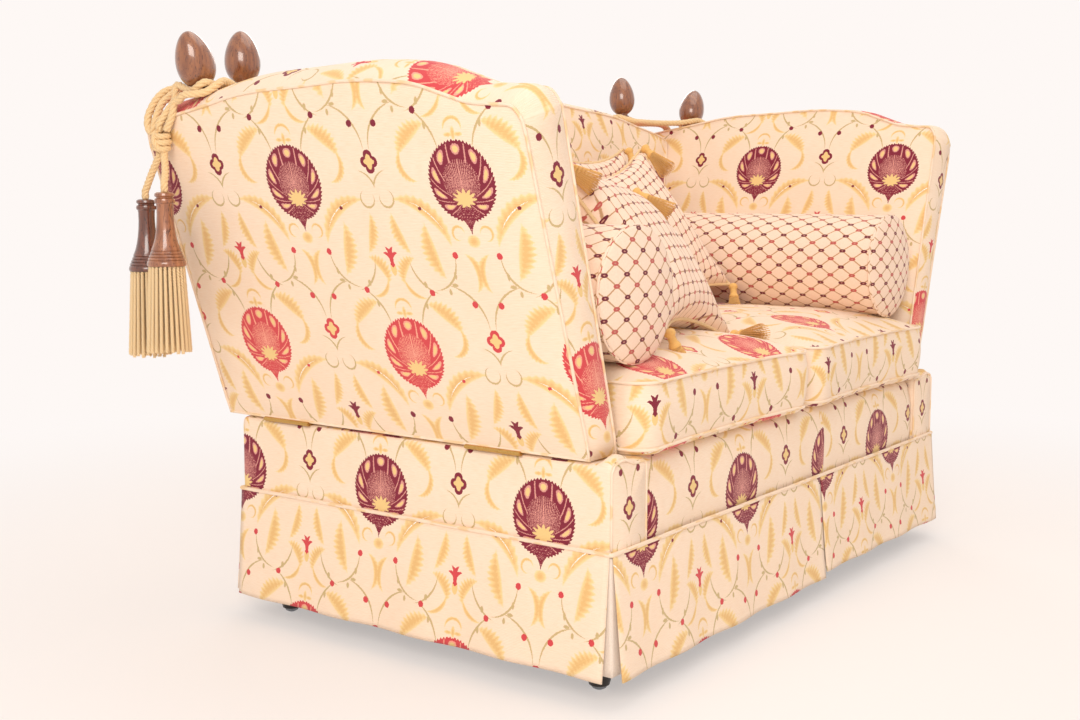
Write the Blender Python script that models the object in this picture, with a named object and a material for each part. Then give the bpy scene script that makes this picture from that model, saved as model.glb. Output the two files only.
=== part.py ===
"""A two-seat knole sofa: a padded base with a skirt, a camel back, and two leaning arms that drop
outwards on brass hinges. Rope ties round turned finials hold the arms up, and end in wooden tassels.

Metres, +Z up, the front towards -Y. The origin is on the floor under the middle of the sofa.
"""
from math import cos, hypot, pi, radians, sin, tan

import bmesh
import bpy
from mathutils import Matrix, Vector
from mathutils.bvhtree import BVHTree

for old in list(bpy.data.objects):
    bpy.data.objects.remove(old)

# Clearances shared by all pieces
CLEAR = 0.0003
SOFT_CLEAR = 0.0007
OVERRUN = 0.02

# Base
BASE_WIDTH = 1.352
BASE_DEPTH = 0.831
HINGE_HEIGHT = 0.385
FRAME_UNDERSIDE = 0.104
SIDE_BLOCK_WIDTH = 0.104
PAD_WALL = 0.0215
PAD_OVER_RAIL = 0.038
PAD_ROUND = 0.010
BLOCK_CROWN = 0.013
RAIL_THICKNESS = 0.028
BORDER_RECESS = 0.009
BORDER_BULGE = 0.006
BORDER_TOP_ROUND = 0.030
BORDER_TOP_DEPTH = 0.070

# Feet
FOOT_RADIUS = 0.028
FOOT_WAIST = 0.017
FOOT_INSET = 0.060
GLIDE_RADIUS = 0.0135
GLIDE_HEIGHT = 0.009

# Seat suspension
WEBBING_THICKNESS = 0.002
WEBBING_WIDTH = 0.050
WEBBING_LONG = 3
WEBBING_CROSS = 5
SPRING_RADIUS = 0.044
SPRING_WAIST = 0.030
SPRING_WIRE = 0.0022
SPRING_TURNS = 3
SPRING_ROWS = 2
SPRING_COLUMNS = 4
SPRING_PITCH_X = 0.270
SPRING_PITCH_Y = 0.300
SPRING_HEIGHT = 0.190
CANVAS_THICKNESS = 0.0025
COVER_THICKNESS = 0.0012
COVER_NOTCH = 0.075
COVER_MARGIN = 0.010
DECK_ROUND = 0.008
DECK_REAR_GAP = 0.0035

# Arms
ARM_LEAN = radians(18.5)
ARM_FRONT_SETBACK = 0.0395
ARM_REAR_OVERHANG = 0.0275
ARM_HEIGHT = 0.613
ARM_FOOT_THICKNESS = 0.070
ARM_TOP_THICKNESS = 0.100
ARM_CROWN = 0.018
ARM_FACE_BULGE = 0.013
ARM_FRAME_THICKNESS = 0.028
ARM_FRAME_INSET = 0.024
ARM_POST_INSET = 0.046
ARM_STILE = 0.060
ARM_BOTTOM_RAIL = 0.070
ARM_TOP_RAIL_DROP = 0.150

# Back
BACK_RAKE = radians(3.7)
BACK_CREST = 1.014
BACK_FOOT_THICKNESS = 0.120
BACK_TOP_THICKNESS = 0.100
BACK_CROWN = 0.017
BACK_FACE_BULGE = 0.020
BACK_REAR_BULGE = 0.004
BACK_END_GAP = 0.0020
BACK_END_RELIEF = 0.0050
BACK_FRAME_INSET = 0.024
BACK_END_INSET = 0.038
BACK_STILE = 0.060
BACK_TOP_RAIL = 0.080
BACK_BOTTOM_RAIL = 0.070

# Hinges
HINGE_LENGTH = 0.112
HINGE_FRONT = -0.188
HINGE_REAR = 0.290
KNUCKLE_RADIUS = 0.0040
KNUCKLES = 5
PIN_RADIUS = 0.0019
PIN_HEAD = 0.0036
PIN_HEAD_LENGTH = 0.0016
LEAF_THICKNESS = 0.0015
LEAF_WIDTH = 0.046

# Finials
FINIAL_HEIGHT = 0.105
FINIAL_RADIUS = 0.0325
NECK_RADIUS = 0.0110
NECK_LENGTH = 0.024
DOWEL_RADIUS = 0.0060
DOWEL_LENGTH = 0.050
ARM_FINIAL_INSET = 0.118
ARM_FINIAL_STAND = 0.0035
BACK_FINIAL_INSET = 0.030
BACK_FINIAL_STAND = 0.016

# Rope ties and tassels
ROPE_RADIUS = 0.0065
ROPE_LIFT = 0.0021
ROPE_POINTS = 76
ROPE_SPREAD = 0.012
KNOT_RADIUS = 0.0165
KNOT_INSET = 0.058
KNOT_DROP = 0.078
REAR_TASSEL_OUT = 0.0005
REAR_TASSEL_ALONG = 0.047
REAR_TASSEL_DROP = 0.098
FRONT_TASSEL_OUT = 0.0235
FRONT_TASSEL_ALONG = -0.033
FRONT_TASSEL_DROP = 0.086
HEAD_HEIGHT = 0.125
HEAD_RADIUS = 0.033
FRINGE_LENGTH = 0.154
FRINGE_TOP_RADIUS = 0.0315
FRINGE_RADIUS = 0.0385
FRINGE_CORDS = 11
FRINGE_GROOVE = 0.0022

# Skirt
SKIRT_TOP = 0.243
SKIRT_BOTTOM = 0.045
SKIRT_THICKNESS = 0.004
SKIRT_FLARE = 0.0136
SKIRT_STAND = 0.0022
SKIRT_WAVE = 0.0030
SKIRT_WAVE_PITCH = 0.19
SKIRT_SPLIT_X = 0.070
SKIRT_SPLIT_GAP = 0.004
SKIRT_SPLIT_LIFT = 0.008
WELT_RADIUS = 0.0040

# Loose cushions
SEAT_CUSHION_FRONT = 0.430
SEAT_CUSHION_REAR = 0.2775
SEAT_CUSHION_OUTER = 0.598
SEAT_CUSHION_MIDDLE = 0.018
SEAT_CUSHION_GAP = 0.0150
SEAT_SEAM_RISE = 0.014
SEAT_BOXING = 0.105
SEAT_CROWN = 0.040
SEAT_CORNER = 0.045
SEAT_SIDE_PULL = 0.010
SEAT_BOXING_BULGE = 0.007
BOLSTER_RADIUS = 0.114
BOLSTER_LENGTH = 0.600
BOLSTER_X = 0.528
BOLSTER_FRONT = 0.366
BOLSTER_CAP_DOME = 0.016
BOLSTER_PIPING = 0.004
BOLSTER_PIPING_WIDTH = 0.010
BOLSTER_SAG = 0.006
SCATTER_SIDE = 0.400
SCATTER_LESS = 0.388
SCATTER_THICKNESS = 0.150
SCATTER_BACK_THICKNESS = 0.115
SCATTER_PULL = 0.036
BACK_SCATTER_X = 0.233
BACK_SCATTER_Y = 0.235
MIDDLE_SCATTER_X = 0.187
MIDDLE_SCATTER_Y = 0.055
FRONT_SCATTER_X = -0.185
FRONT_SCATTER_Y = -0.165

# Shares of the sizes above, chosen by hand
ARM_TOP_SHARES = [
    (0.004, 0.885), (0.022, 0.915), (0.190, 0.954), (0.327, 0.984), (0.490, 0.994), (0.597, 1.0),
    (0.684, 0.997), (0.767, 0.984), (0.830, 0.957), (0.885, 0.933), (0.938, 0.925), (0.980, 0.919),
    (0.998, 0.885),
]
ARM_SIDE_SHARES = [0.0, 0.25, 0.5, 0.75]
ARM_FOOT_SHARES = [0.75, 0.5, 0.25, 0.12]
ARM_CENTRE_SHARES = (-0.04, 0.47)
FACE_RING_SHARES = [(0.975, 0.12), (0.90, 0.45), (0.75, 0.80), (0.45, 1.0)]
EDGE_STATION_SHARES = [0.0, 0.2, 0.5, 0.8, 1.0]
BLOCK_TOP_SHARES = [0.2, 0.4, 0.6]
BLOCK_CROWN_SHARE = 0.62
SKIRT_DOWN_SHARES = [0.0, 0.3, 0.65, 1.0]
BACK_SIDE_SHARES = [0.0, 0.14, 0.43, 0.72, 1.0]
BACK_FOOT_SHARES = [0.6, 0.2, -0.2, -0.6]
BACK_CENTRE_SHARE = 0.46
CAMEL_SHARES = [
    (-0.992, 0.865), (-0.965, 0.882), (-0.90, 0.900), (-0.80, 0.921), (-0.66, 0.952),
    (-0.49, 0.969), (-0.33, 0.984), (-0.16, 0.997),
]
FINIAL_SHARES = [
    (0.000, 0.42), (0.030, 0.52), (0.070, 0.52), (0.090, 0.37), (0.120, 0.40), (0.200, 0.67),
    (0.310, 0.90), (0.430, 1.00), (0.570, 0.95), (0.720, 0.74), (0.850, 0.45), (0.950, 0.19),
]
HEAD_SHARES = [
    (0.00, 0.47), (0.05, 0.53), (0.08, 0.45), (0.14, 0.53), (0.20, 0.43),
    (0.45, 0.46), (0.64, 0.55), (0.76, 0.70), (0.86, 0.88), (1.00, 1.00),
]
FRINGE_SHARES = [0.0, 0.4, 1.0]
ROPE_ROUNDS = 14
ARM_TURN_ANGLES = [168, 200, 232, 266, 299]
BACK_TURN_ANGLES = [299, 335, 10, 48, 84]
ROPE_SLACK_SHARE = 0.03
CUSHION_TOP_SHARES = [0.30, 0.58, 0.80, 0.93]
CUSHION_SIDE_SHARES = [0.2, 0.4, 0.6, 0.8]
CUSHION_CROWN_POWER = 2.6
SCATTER_CELLS = 8
SCATTER_FAT_POWER = 0.42
BOLSTER_STATION_SHARES = [0.05, 0.5, 0.95]
BOLSTER_CAP_SHARES = [0.35, 0.70, 0.92]

# Worked out from the sizes above
HALF_WIDTH = BASE_WIDTH / 2
HALF_DEPTH = BASE_DEPTH / 2
ARM_SEAT_GAP = 2 * LEAF_THICKNESS + 3 * CLEAR
BASE_TOP = HINGE_HEIGHT - ARM_SEAT_GAP / 2
RAIL_TOP = BASE_TOP - PAD_OVER_RAIL
RAIL_OUTER_X = HALF_WIDTH - PAD_WALL
RAIL_OUTER_Y = HALF_DEPTH - PAD_WALL
RAIL_INNER_X = RAIL_OUTER_X - RAIL_THICKNESS
RAIL_INNER_Y = RAIL_OUTER_Y - RAIL_THICKNESS
BLOCK_INNER_X = HALF_WIDTH - SIDE_BLOCK_WIDTH
HINGE_X = HALF_WIDTH + KNUCKLE_RADIUS + CLEAR
ARM_FACE_T = (HINGE_X - HALF_WIDTH) * cos(ARM_LEAN) + ARM_SEAT_GAP / 2 * sin(ARM_LEAN)
ARM_FRONT_Y = -HALF_DEPTH + ARM_FRONT_SETBACK
ARM_REAR_Y = HALF_DEPTH + ARM_REAR_OVERHANG
ARM_DEPTH = ARM_REAR_Y - ARM_FRONT_Y
ARM_POST_T = ARM_FACE_T + ARM_POST_INSET
ARM_TAPER = (ARM_TOP_THICKNESS - ARM_FOOT_THICKNESS) / ARM_HEIGHT
ARM_FINIAL_Y = ARM_REAR_Y - ARM_FINIAL_INSET
BACK_FINIAL_X = HALF_WIDTH - BACK_FINIAL_INSET
KNOT_Y = ARM_REAR_Y - KNOT_INSET
KNOT_HEIGHT = ARM_HEIGHT - KNOT_DROP
BACK_HEIGHT = BACK_CREST - HINGE_HEIGHT
SEAT_TOP_SEAM = HINGE_HEIGHT + SEAT_SEAM_RISE + SEAT_BOXING


def material(name, colour, roughness, metallic=0.0):
    made = bpy.data.materials.new(name)
    made.use_nodes = True
    shader = made.node_tree.nodes["Principled BSDF"]
    shader.inputs["Base Color"].default_value = (*colour, 1)
    shader.inputs["Roughness"].default_value = roughness
    shader.inputs["Metallic"].default_value = metallic
    made.diffuse_color = (*colour, 1)
    return made


FABRIC = material("floral_fabric", (0.86, 0.72, 0.52), 0.8)
TRELLIS = material("trellis_fabric", (0.88, 0.76, 0.62), 0.8)
WALNUT = material("walnut", (0.27, 0.12, 0.06), 0.25)
BEECH = material("beech", (0.62, 0.43, 0.25), 0.6)
BRASS = material("hinge_brass", (0.72, 0.52, 0.24), 0.35, 1.0)
STEEL = material("spring_steel", (0.42, 0.42, 0.43), 0.4, 1.0)
ROPE = material("rope", (0.83, 0.68, 0.38), 0.85)
JUTE = material("jute", (0.55, 0.42, 0.26), 0.9)
CAMBRIC = material("dust_cambric", (0.05, 0.05, 0.05), 0.9)


def finish(name, mesh_edit, look, hand=1, parent=None, sharp=35):
    """Turn a bmesh into a named object; hand -1 mirrors it to the right side."""
    if hand < 0:
        for vertex in mesh_edit.verts:
            vertex.co.x = -vertex.co.x
    bmesh.ops.recalc_face_normals(mesh_edit, faces=mesh_edit.faces)
    if mesh_edit.calc_volume(signed=True) < 0:
        bmesh.ops.reverse_faces(mesh_edit, faces=mesh_edit.faces)
    mesh = bpy.data.meshes.new(name)
    mesh_edit.to_mesh(mesh)
    mesh_edit.free()
    mesh.shade_smooth()
    mesh.set_sharp_from_angle(angle=radians(sharp))
    if look:
        mesh.materials.append(look)
    made = bpy.data.objects.new(name, mesh)
    bpy.context.scene.collection.objects.link(made)
    made.parent = parent
    return made


def skin(mesh_edit, rings, poles=(None, None)):
    """Join rings of equally many points into a closed body, with a flat or pointed cap at each end."""
    made = [[mesh_edit.verts.new(point) for point in ring] for ring in rings]
    count = len(rings[0])
    for low, high in zip(made, made[1:]):
        for i in range(count):
            j = (i + 1) % count
            mesh_edit.faces.new((low[i], low[j], high[j], high[i]))
    for ring, pole in ((made[0], poles[0]), (made[-1], poles[1])):
        if pole is None:
            mesh_edit.faces.new(ring)
            continue
        tip = mesh_edit.verts.new(pole)
        for i in range(count):
            mesh_edit.faces.new((ring[i], ring[(i + 1) % count], tip))


def middle(points):
    return sum(points, Vector()) / len(points)


def add_box(mesh_edit, low, high, round_by=0, segments=2):
    """A box between two corners, with rounded edges where a radius is given."""
    size = Vector(high) - Vector(low)
    centre = (Vector(high) + Vector(low)) / 2
    made = bmesh.ops.create_cube(mesh_edit, size=1, matrix=Matrix.LocRotScale(centre, None, size))
    if round_by:
        edges = list({edge for vertex in made["verts"] for edge in vertex.link_edges})
        bmesh.ops.bevel(
            mesh_edit, geom=edges, offset=round_by, segments=segments, profile=0.5, affect="EDGES"
        )


def box(name, low, high, look, hand=1, parent=None, round_by=0):
    mesh_edit = bmesh.new()
    add_box(mesh_edit, low, high, round_by)
    return finish(name, mesh_edit, look, hand, parent)


def cutter(made):
    made.hide_render = True
    made.display_type = "WIRE"
    return made


def combine(target, tool, operation="DIFFERENCE"):
    """Keep a Boolean modifier on the target; the tool is a guide that isn't part of the sofa."""
    cutter(tool)
    change = target.modifiers.new(tool.name, "BOOLEAN")
    change.operation = operation
    change.object = tool
    change.solver = "EXACT"


def ring_round(centre, radius, axis, side, count):
    """Points of a circle round an axis, starting at the given side direction."""
    axis = Vector(axis).normalized()
    side = Vector(side)
    side = (side - axis * side.dot(axis)).normalized()
    other = axis.cross(side)
    turns = [2 * pi * i / count for i in range(count)]
    return [centre + side * (radius * cos(a)) + other * (radius * sin(a)) for a in turns]


def add_turned(mesh_edit, foot, axis, profile, count=12, side=(0, 1, 0)):
    """A turned body: the profile lists (distance along the axis, radius)."""
    foot = Vector(foot)
    axis = Vector(axis).normalized()
    rings = []
    poles = [None, None]
    for i, (along, radius) in enumerate(profile):
        if radius:
            rings.append(ring_round(foot + axis * along, radius, axis, side, count))
        else:
            poles[0 if i == 0 else 1] = foot + axis * along
    skin(mesh_edit, rings, poles)


def smooth(points, steps, closed=False):
    """A Catmull-Rom curve through the points, with so many steps between neighbours."""
    points = [Vector(point) for point in points]
    count = len(points)
    spans = count if closed else count - 1
    found = []
    for i in range(spans):
        if closed:
            a, b, c, d = (points[(i + k) % count] for k in (-1, 0, 1, 2))
        else:
            a, b, c, d = (points[min(max(i + k, 0), count - 1)] for k in (-1, 0, 1, 2))
        for j in range(steps):
            t = j / steps
            found.append(
                (b * 2 + (c - a) * t + (a * 2 - b * 5 + c * 4 - d) * t**2
                 + (b * 3 - a - c * 3 + d) * t**3) / 2
            )
    if not closed:
        found.append(points[-1])
    return found


def tube(name, points, radius, look, parent=None, closed=False, resolution=2):
    """A round cord, wire or rope on a polyline."""
    line = bpy.data.curves.new(name, "CURVE")
    line.dimensions = "3D"
    line.bevel_depth = radius
    line.bevel_resolution = resolution
    line.use_fill_caps = not closed
    add_line(line, points, closed)
    line.materials.append(look)
    made = bpy.data.objects.new(name, line)
    bpy.context.scene.collection.objects.link(made)
    made.parent = parent
    return made


def add_line(line, points, closed=False):
    spline = line.splines.new("POLY")
    spline.points.add(len(points) - 1)
    for slot, point in zip(spline.points, points):
        slot.co = (*point, 1)
    spline.use_cyclic_u = closed


def outward_normals(outline):
    """Unit normals of a closed outline of 2-D points that runs anticlockwise or clockwise."""
    count = len(outline)
    area = sum(
        outline[i][0] * outline[(i + 1) % count][1] - outline[(i + 1) % count][0] * outline[i][1]
        for i in range(count)
    )
    turn = 1 if area > 0 else -1
    found = []
    for i in range(count):
        before = outline[i - 1]
        after = outline[(i + 1) % count]
        run = (after[0] - before[0], after[1] - before[1])
        length = hypot(*run)
        found.append((turn * run[1] / length, -turn * run[0] / length))
    return found


def axis_empty(name, place, turn=0.0):
    """An empty on a joint's axis, which carries the pieces that move together."""
    made = bpy.data.objects.new(name, None)
    bpy.context.scene.collection.objects.link(made)
    made.location = place
    made.rotation_euler = (0, turn, 0)
    return made


def world_tree(*objects):
    """The surfaces of finished objects, in world space, for seating other pieces on them."""
    bpy.context.view_layer.update()
    view = bpy.context.evaluated_depsgraph_get()
    points = []
    faces = []
    for made in objects:
        shown = made.evaluated_get(view)
        mesh = shown.to_mesh()
        first = len(points)
        points += [made.matrix_world @ vertex.co for vertex in mesh.vertices]
        mesh.calc_loop_triangles()
        faces += [[first + i for i in triangle.vertices] for triangle in mesh.loop_triangles]
        shown.to_mesh_clear()
    return BVHTree.FromPolygons(points, faces), points


def outer_tree(made):
    """An upholstered piece's outer form, before its pocket is cut."""
    bpy.context.view_layer.update()
    points = [made.matrix_world @ vertex.co for vertex in made.data.vertices]
    return BVHTree.FromPolygons(points, [list(polygon.vertices) for polygon in made.data.polygons])


def settle(moved, carriers, clearance, way=(0, 0, -1)):
    """Move an object along a direction until its least distance from what it meets is the clearance."""
    ahead, ahead_points = world_tree(*carriers)
    own, own_points = world_tree(moved)
    way = Vector(way)
    gaps = []
    for point in own_points:
        hit = ahead.ray_cast(point - way * SCATTER_SIDE, way)[0]
        if hit:
            gaps.append((hit - point).dot(way))
    for point in ahead_points:
        hit = own.ray_cast(point + way * SCATTER_SIDE, -way)[0]
        if hit:
            gaps.append((point - hit).dot(way))
    moved.location += way * (min(gaps) - clearance)
    bpy.context.view_layer.update()


# Arm shape, in the arm's own frame: X inwards from the hinge axis, Y along it, Z up the leaning face
def arm_thickness(height):
    return ARM_FOOT_THICKNESS + ARM_TAPER * max(0, min(height, ARM_HEIGHT))


def arm_foot(t):
    """The height at which the level underside of the leaning arm lies."""
    return (ARM_SEAT_GAP / 2 - t * sin(ARM_LEAN)) / cos(ARM_LEAN)


def arm_outline():
    """Points (y, height) round the arm's seam, with how far each may swell outwards."""
    top = smooth([(y, height, 0) for y, height in ARM_TOP_SHARES], 2)
    rear = [(0, ARM_TOP_SHARES[0][1] * up, 0.35) for up in ARM_SIDE_SHARES]
    over = [(point.x, point.y, 1.0) for point in top]
    front = [(1, ARM_TOP_SHARES[-1][1] * up, 0.55) for up in reversed(ARM_SIDE_SHARES)]
    foot = [(along, 0, 0) for along in ARM_FOOT_SHARES]
    found = []
    for along, up, swell in rear + over + front + foot:
        if up == 0:
            swell = 0
        found.append((ARM_REAR_Y - along * ARM_DEPTH, up * ARM_HEIGHT, swell))
    return found


ARM_OUTLINE = arm_outline()
ARM_NORMALS = outward_normals([(y, height) for y, height, _ in ARM_OUTLINE])
ARM_CENTRE = (ARM_CENTRE_SHARES[0] * ARM_DEPTH, ARM_CENTRE_SHARES[1] * ARM_HEIGHT)
ARM_INNER_REAR_Y = HALF_DEPTH - BACK_FOOT_THICKNESS - 2 * BACK_FACE_BULGE


def arm_edge_ring(share):
    """One ring round the arm's rim, at a share of the way from the outer to the inner face."""
    swell = 4 * share * (1 - share) * ARM_CROWN
    ring = []
    for (y, height, part), (ny, nh) in zip(ARM_OUTLINE, ARM_NORMALS):
        t = ARM_FACE_T + share * arm_thickness(height)
        foot = arm_foot(t) * (1 - height / ARM_HEIGHT)
        ring.append(Vector((t, y + ny * swell * part, height + foot + nh * swell * part)))
    return ring


def arm_face_ring(inner, scale, bulge):
    """One ring on a face of the arm, drawn in towards its middle and swollen outwards."""
    ring = []
    for y, height, _ in ARM_OUTLINE:
        y = ARM_CENTRE[0] + scale * (y - ARM_CENTRE[0])
        height = ARM_CENTRE[1] + scale * (height - ARM_CENTRE[1])
        if inner:
            if scale < 0.8:
                y = min(y, ARM_INNER_REAR_Y)
            swell = max(0, min(1, (ARM_INNER_REAR_Y - y) / ARM_TOP_THICKNESS))
            t = ARM_FACE_T + arm_thickness(height) + bulge * swell * ARM_FACE_BULGE
        else:
            t = ARM_FACE_T - bulge * ARM_FACE_BULGE
        ring.append(Vector((t, y, height + arm_foot(t) * (1 - height / ARM_HEIGHT))))
    return ring


def arm_frame_rings(inset, t_low, t_high, below):
    """The outline of the timber in the arm, or of the pocket that holds it."""
    rings = []
    chosen = range(0, len(ARM_OUTLINE), 2)
    for t in (t_low, t_high):
        ring = []
        for i in chosen:
            y, height, _ = ARM_OUTLINE[i]
            ny, nh = ARM_NORMALS[i]
            if height == 0:
                y = max(ARM_FRONT_Y + inset, min(ARM_REAR_Y - inset, y))
                height = arm_foot(t) - below
            else:
                y = max(ARM_FRONT_Y + inset, min(ARM_REAR_Y - inset, y - ny * inset))
                height = height - nh * inset
            ring.append(Vector((t, y, height)))
        rings.append(ring)
    return rings


def finial_profile():
    dowel = [(-NECK_LENGTH - DOWEL_LENGTH, DOWEL_RADIUS), (-NECK_LENGTH, DOWEL_RADIUS)]
    neck = [(-NECK_LENGTH, NECK_RADIUS), (0, NECK_RADIUS)]
    egg = [(along * FINIAL_HEIGHT, part * FINIAL_RADIUS) for along, part in FINIAL_SHARES]
    return dowel + neck + egg + [(FINIAL_HEIGHT, 0)]


def bore_profile():
    """The stepped hole that takes a finial's dowel and neck."""
    neck = NECK_RADIUS + CLEAR
    dowel = DOWEL_RADIUS + CLEAR
    return [
        (-NECK_LENGTH - DOWEL_LENGTH - CLEAR, dowel), (-NECK_LENGTH - CLEAR, dowel),
        (-NECK_LENGTH - CLEAR, neck), (OVERRUN, neck),
    ]


def arm_surface_height(y):
    """The height of the rim's crest at a place along the arm."""
    ring = arm_edge_ring(0.5)
    best = min(
        (abs(point.y - y), i) for i, point in enumerate(ring) if point.z > ARM_HEIGHT / 2
    )[1]
    near = [ring[best - 1], ring[best], ring[(best + 1) % len(ring)]]
    spans = [(a, b) for a, b in zip(near, near[1:]) if min(a.y, b.y) <= y <= max(a.y, b.y)]
    a, b = spans[0]
    return a.z + (b.z - a.z) * (y - a.y) / (b.y - a.y)


def arm_point(t, y, height):
    """A point of the left arm's frame, in world space."""
    turn = Matrix.Rotation(-ARM_LEAN, 3, "Y")
    return Vector((-HINGE_X, 0, HINGE_HEIGHT)) + turn @ Vector((t, y, height))


ARM_FINIAL_HEIGHT = arm_surface_height(ARM_FINIAL_Y) + ARM_FINIAL_STAND


# Base frame, seat suspension and feet
def build_base_frame():
    box("front_rail", (-RAIL_INNER_X + CLEAR, -RAIL_OUTER_Y, FRAME_UNDERSIDE),
        (RAIL_INNER_X - CLEAR, -RAIL_INNER_Y, RAIL_TOP), BEECH)
    box("rear_rail", (-RAIL_INNER_X + CLEAR, RAIL_INNER_Y, FRAME_UNDERSIDE),
        (RAIL_INNER_X - CLEAR, RAIL_OUTER_Y, RAIL_TOP), BEECH)
    for side, hand in (("left", 1), ("right", -1)):
        box(f"{side}_side_rail", (-RAIL_OUTER_X, -RAIL_OUTER_Y, FRAME_UNDERSIDE),
            (-RAIL_INNER_X, RAIL_OUTER_Y, RAIL_TOP), BEECH, hand)


def corners():
    """The four foot places, as signs of X and Y."""
    return [(x, y) for x in (-1, 1) for y in (-1, 1)]


def build_feet():
    """Turned feet under the rails' corners, each on a domed steel glide."""
    top = FRAME_UNDERSIDE - CLEAR
    profile = [(0, GLIDE_RADIUS / 2), (GLIDE_HEIGHT / 6, GLIDE_RADIUS * 0.8),
               (GLIDE_HEIGHT / 2, GLIDE_RADIUS), (GLIDE_HEIGHT, GLIDE_RADIUS),
               (GLIDE_HEIGHT, FOOT_WAIST), (top - FOOT_RADIUS, FOOT_RADIUS), (top, FOOT_RADIUS)]
    for sx, sy in corners():
        name = f"{'rear' if sy > 0 else 'front'}_{'right' if sx > 0 else 'left'}_foot"
        foot = bmesh.new()
        place = (sx * (HALF_WIDTH - FOOT_INSET), sy * (HALF_DEPTH - FOOT_INSET), 0)
        add_turned(foot, place, (0, 0, 1), profile)
        finish(name, foot, BEECH)


def add_lattice(mesh_edit, xs, ys, filled, low, high):
    """A flat plate with square holes: the cells between the lines for which filled is true."""
    points = {}

    def point(i, j, z):
        key = (i, j, z)
        if key not in points:
            points[key] = mesh_edit.verts.new((xs[i], ys[j], z))
        return points[key]

    def solid(i, j):
        return 0 <= i < len(xs) - 1 and 0 <= j < len(ys) - 1 and filled(i, j)

    for i in range(len(xs) - 1):
        for j in range(len(ys) - 1):
            if not filled(i, j):
                continue
            ring = [(i, j), (i + 1, j), (i + 1, j + 1), (i, j + 1)]
            mesh_edit.faces.new([point(*k, high) for k in ring])
            mesh_edit.faces.new([point(*k, low) for k in reversed(ring)])
            for k, (di, dj) in enumerate(((0, -1), (1, 0), (0, 1), (-1, 0))):
                if not solid(i + di, j + dj):
                    a, b = ring[k], ring[(k + 1) % 4]
                    mesh_edit.faces.new((point(*a, low), point(*b, low), point(*b, high), point(*a, high)))


def strap_lines(count, half, reach):
    """The edges of evenly spaced straps, from one end of the frame to the other."""
    lines = [-reach]
    for i in range(count):
        centre = (i - (count - 1) / 2) * 2 * half / count
        lines += [centre - WEBBING_WIDTH / 2, centre + WEBBING_WIDTH / 2]
    return lines + [reach]


def build_suspension():
    """Webbing under the rails, one wire coiled into springs on it, and canvas over the springs."""
    web = bmesh.new()
    upper = FRAME_UNDERSIDE - CLEAR
    xs = strap_lines(WEBBING_CROSS, RAIL_INNER_X - COVER_NOTCH, RAIL_INNER_X + RAIL_THICKNESS / 2)
    ys = strap_lines(WEBBING_LONG, RAIL_INNER_Y - COVER_NOTCH, RAIL_INNER_Y + RAIL_THICKNESS / 2)
    add_lattice(web, xs, ys, lambda i, j: i % 2 == 1 or j % 2 == 1, upper - WEBBING_THICKNESS, upper)
    finish("seat_webbing", web, JUTE)
    tube("seat_springs", spring_wire(upper + CLEAR + SPRING_WIRE), SPRING_WIRE, STEEL, resolution=0)
    canvas = upper + SPRING_HEIGHT + 2 * CLEAR
    box("spring_canvas", (-RAIL_INNER_X + CLEAR, -RAIL_INNER_Y + CLEAR, canvas),
        (RAIL_INNER_X - CLEAR, RAIL_INNER_Y - CLEAR, canvas + CANVAS_THICKNESS), JUTE)
    deck = canvas + CANVAS_THICKNESS + CLEAR
    front = -HALF_DEPTH + BORDER_RECESS + BORDER_TOP_DEPTH + CLEAR
    box("seat_deck", (-BLOCK_INNER_X + CLEAR, front, deck),
        (BLOCK_INNER_X - CLEAR, RAIL_INNER_Y - DECK_REAR_GAP, BASE_TOP), FABRIC, round_by=DECK_ROUND)
    build_dust_cover(upper - WEBBING_THICKNESS - CLEAR)


def spring_wire(foot):
    """One wire that climbs a waisted coil, crosses to the next, and comes down it, all over the seat."""
    turn = 6
    steps = SPRING_TURNS * turn
    places = []
    for j in range(SPRING_ROWS):
        row = [((i - (SPRING_COLUMNS - 1) / 2) * SPRING_PITCH_X, (j - (SPRING_ROWS - 1) / 2) * SPRING_PITCH_Y)
               for i in range(SPRING_COLUMNS)]
        places += row if j % 2 == 0 else reversed(row)
    points = []
    for n, (x, y) in enumerate(places):
        coil = []
        for k in range(steps + 1):
            radius = SPRING_RADIUS - (SPRING_RADIUS - SPRING_WAIST) * sin(pi * k / steps)
            angle = 2 * pi * k / turn
            z = foot + k / steps * (SPRING_HEIGHT - 2 * SPRING_WIRE)
            coil.append(Vector((x + radius * cos(angle), y + radius * sin(angle), z)))
        points += coil if n % 2 == 0 else reversed(coil)
    return points


def build_dust_cover(top):
    """Black cloth under the frame, cut away round the feet."""
    x, y = RAIL_OUTER_X - COVER_MARGIN, RAIL_OUTER_Y - COVER_MARGIN
    a, b = x - COVER_NOTCH, y - COVER_NOTCH
    outline = [(-a, -y), (a, -y), (a, -b), (x, -b), (x, b), (a, b), (a, y), (-a, y), (-a, b),
               (-x, b), (-x, -b), (-a, -b)]
    cover = bmesh.new()
    skin(cover, [[Vector((px, py, z)) for px, py in outline] for z in (top - COVER_THICKNESS, top)])
    finish("dust_cover", cover, CAMBRIC)


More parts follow.
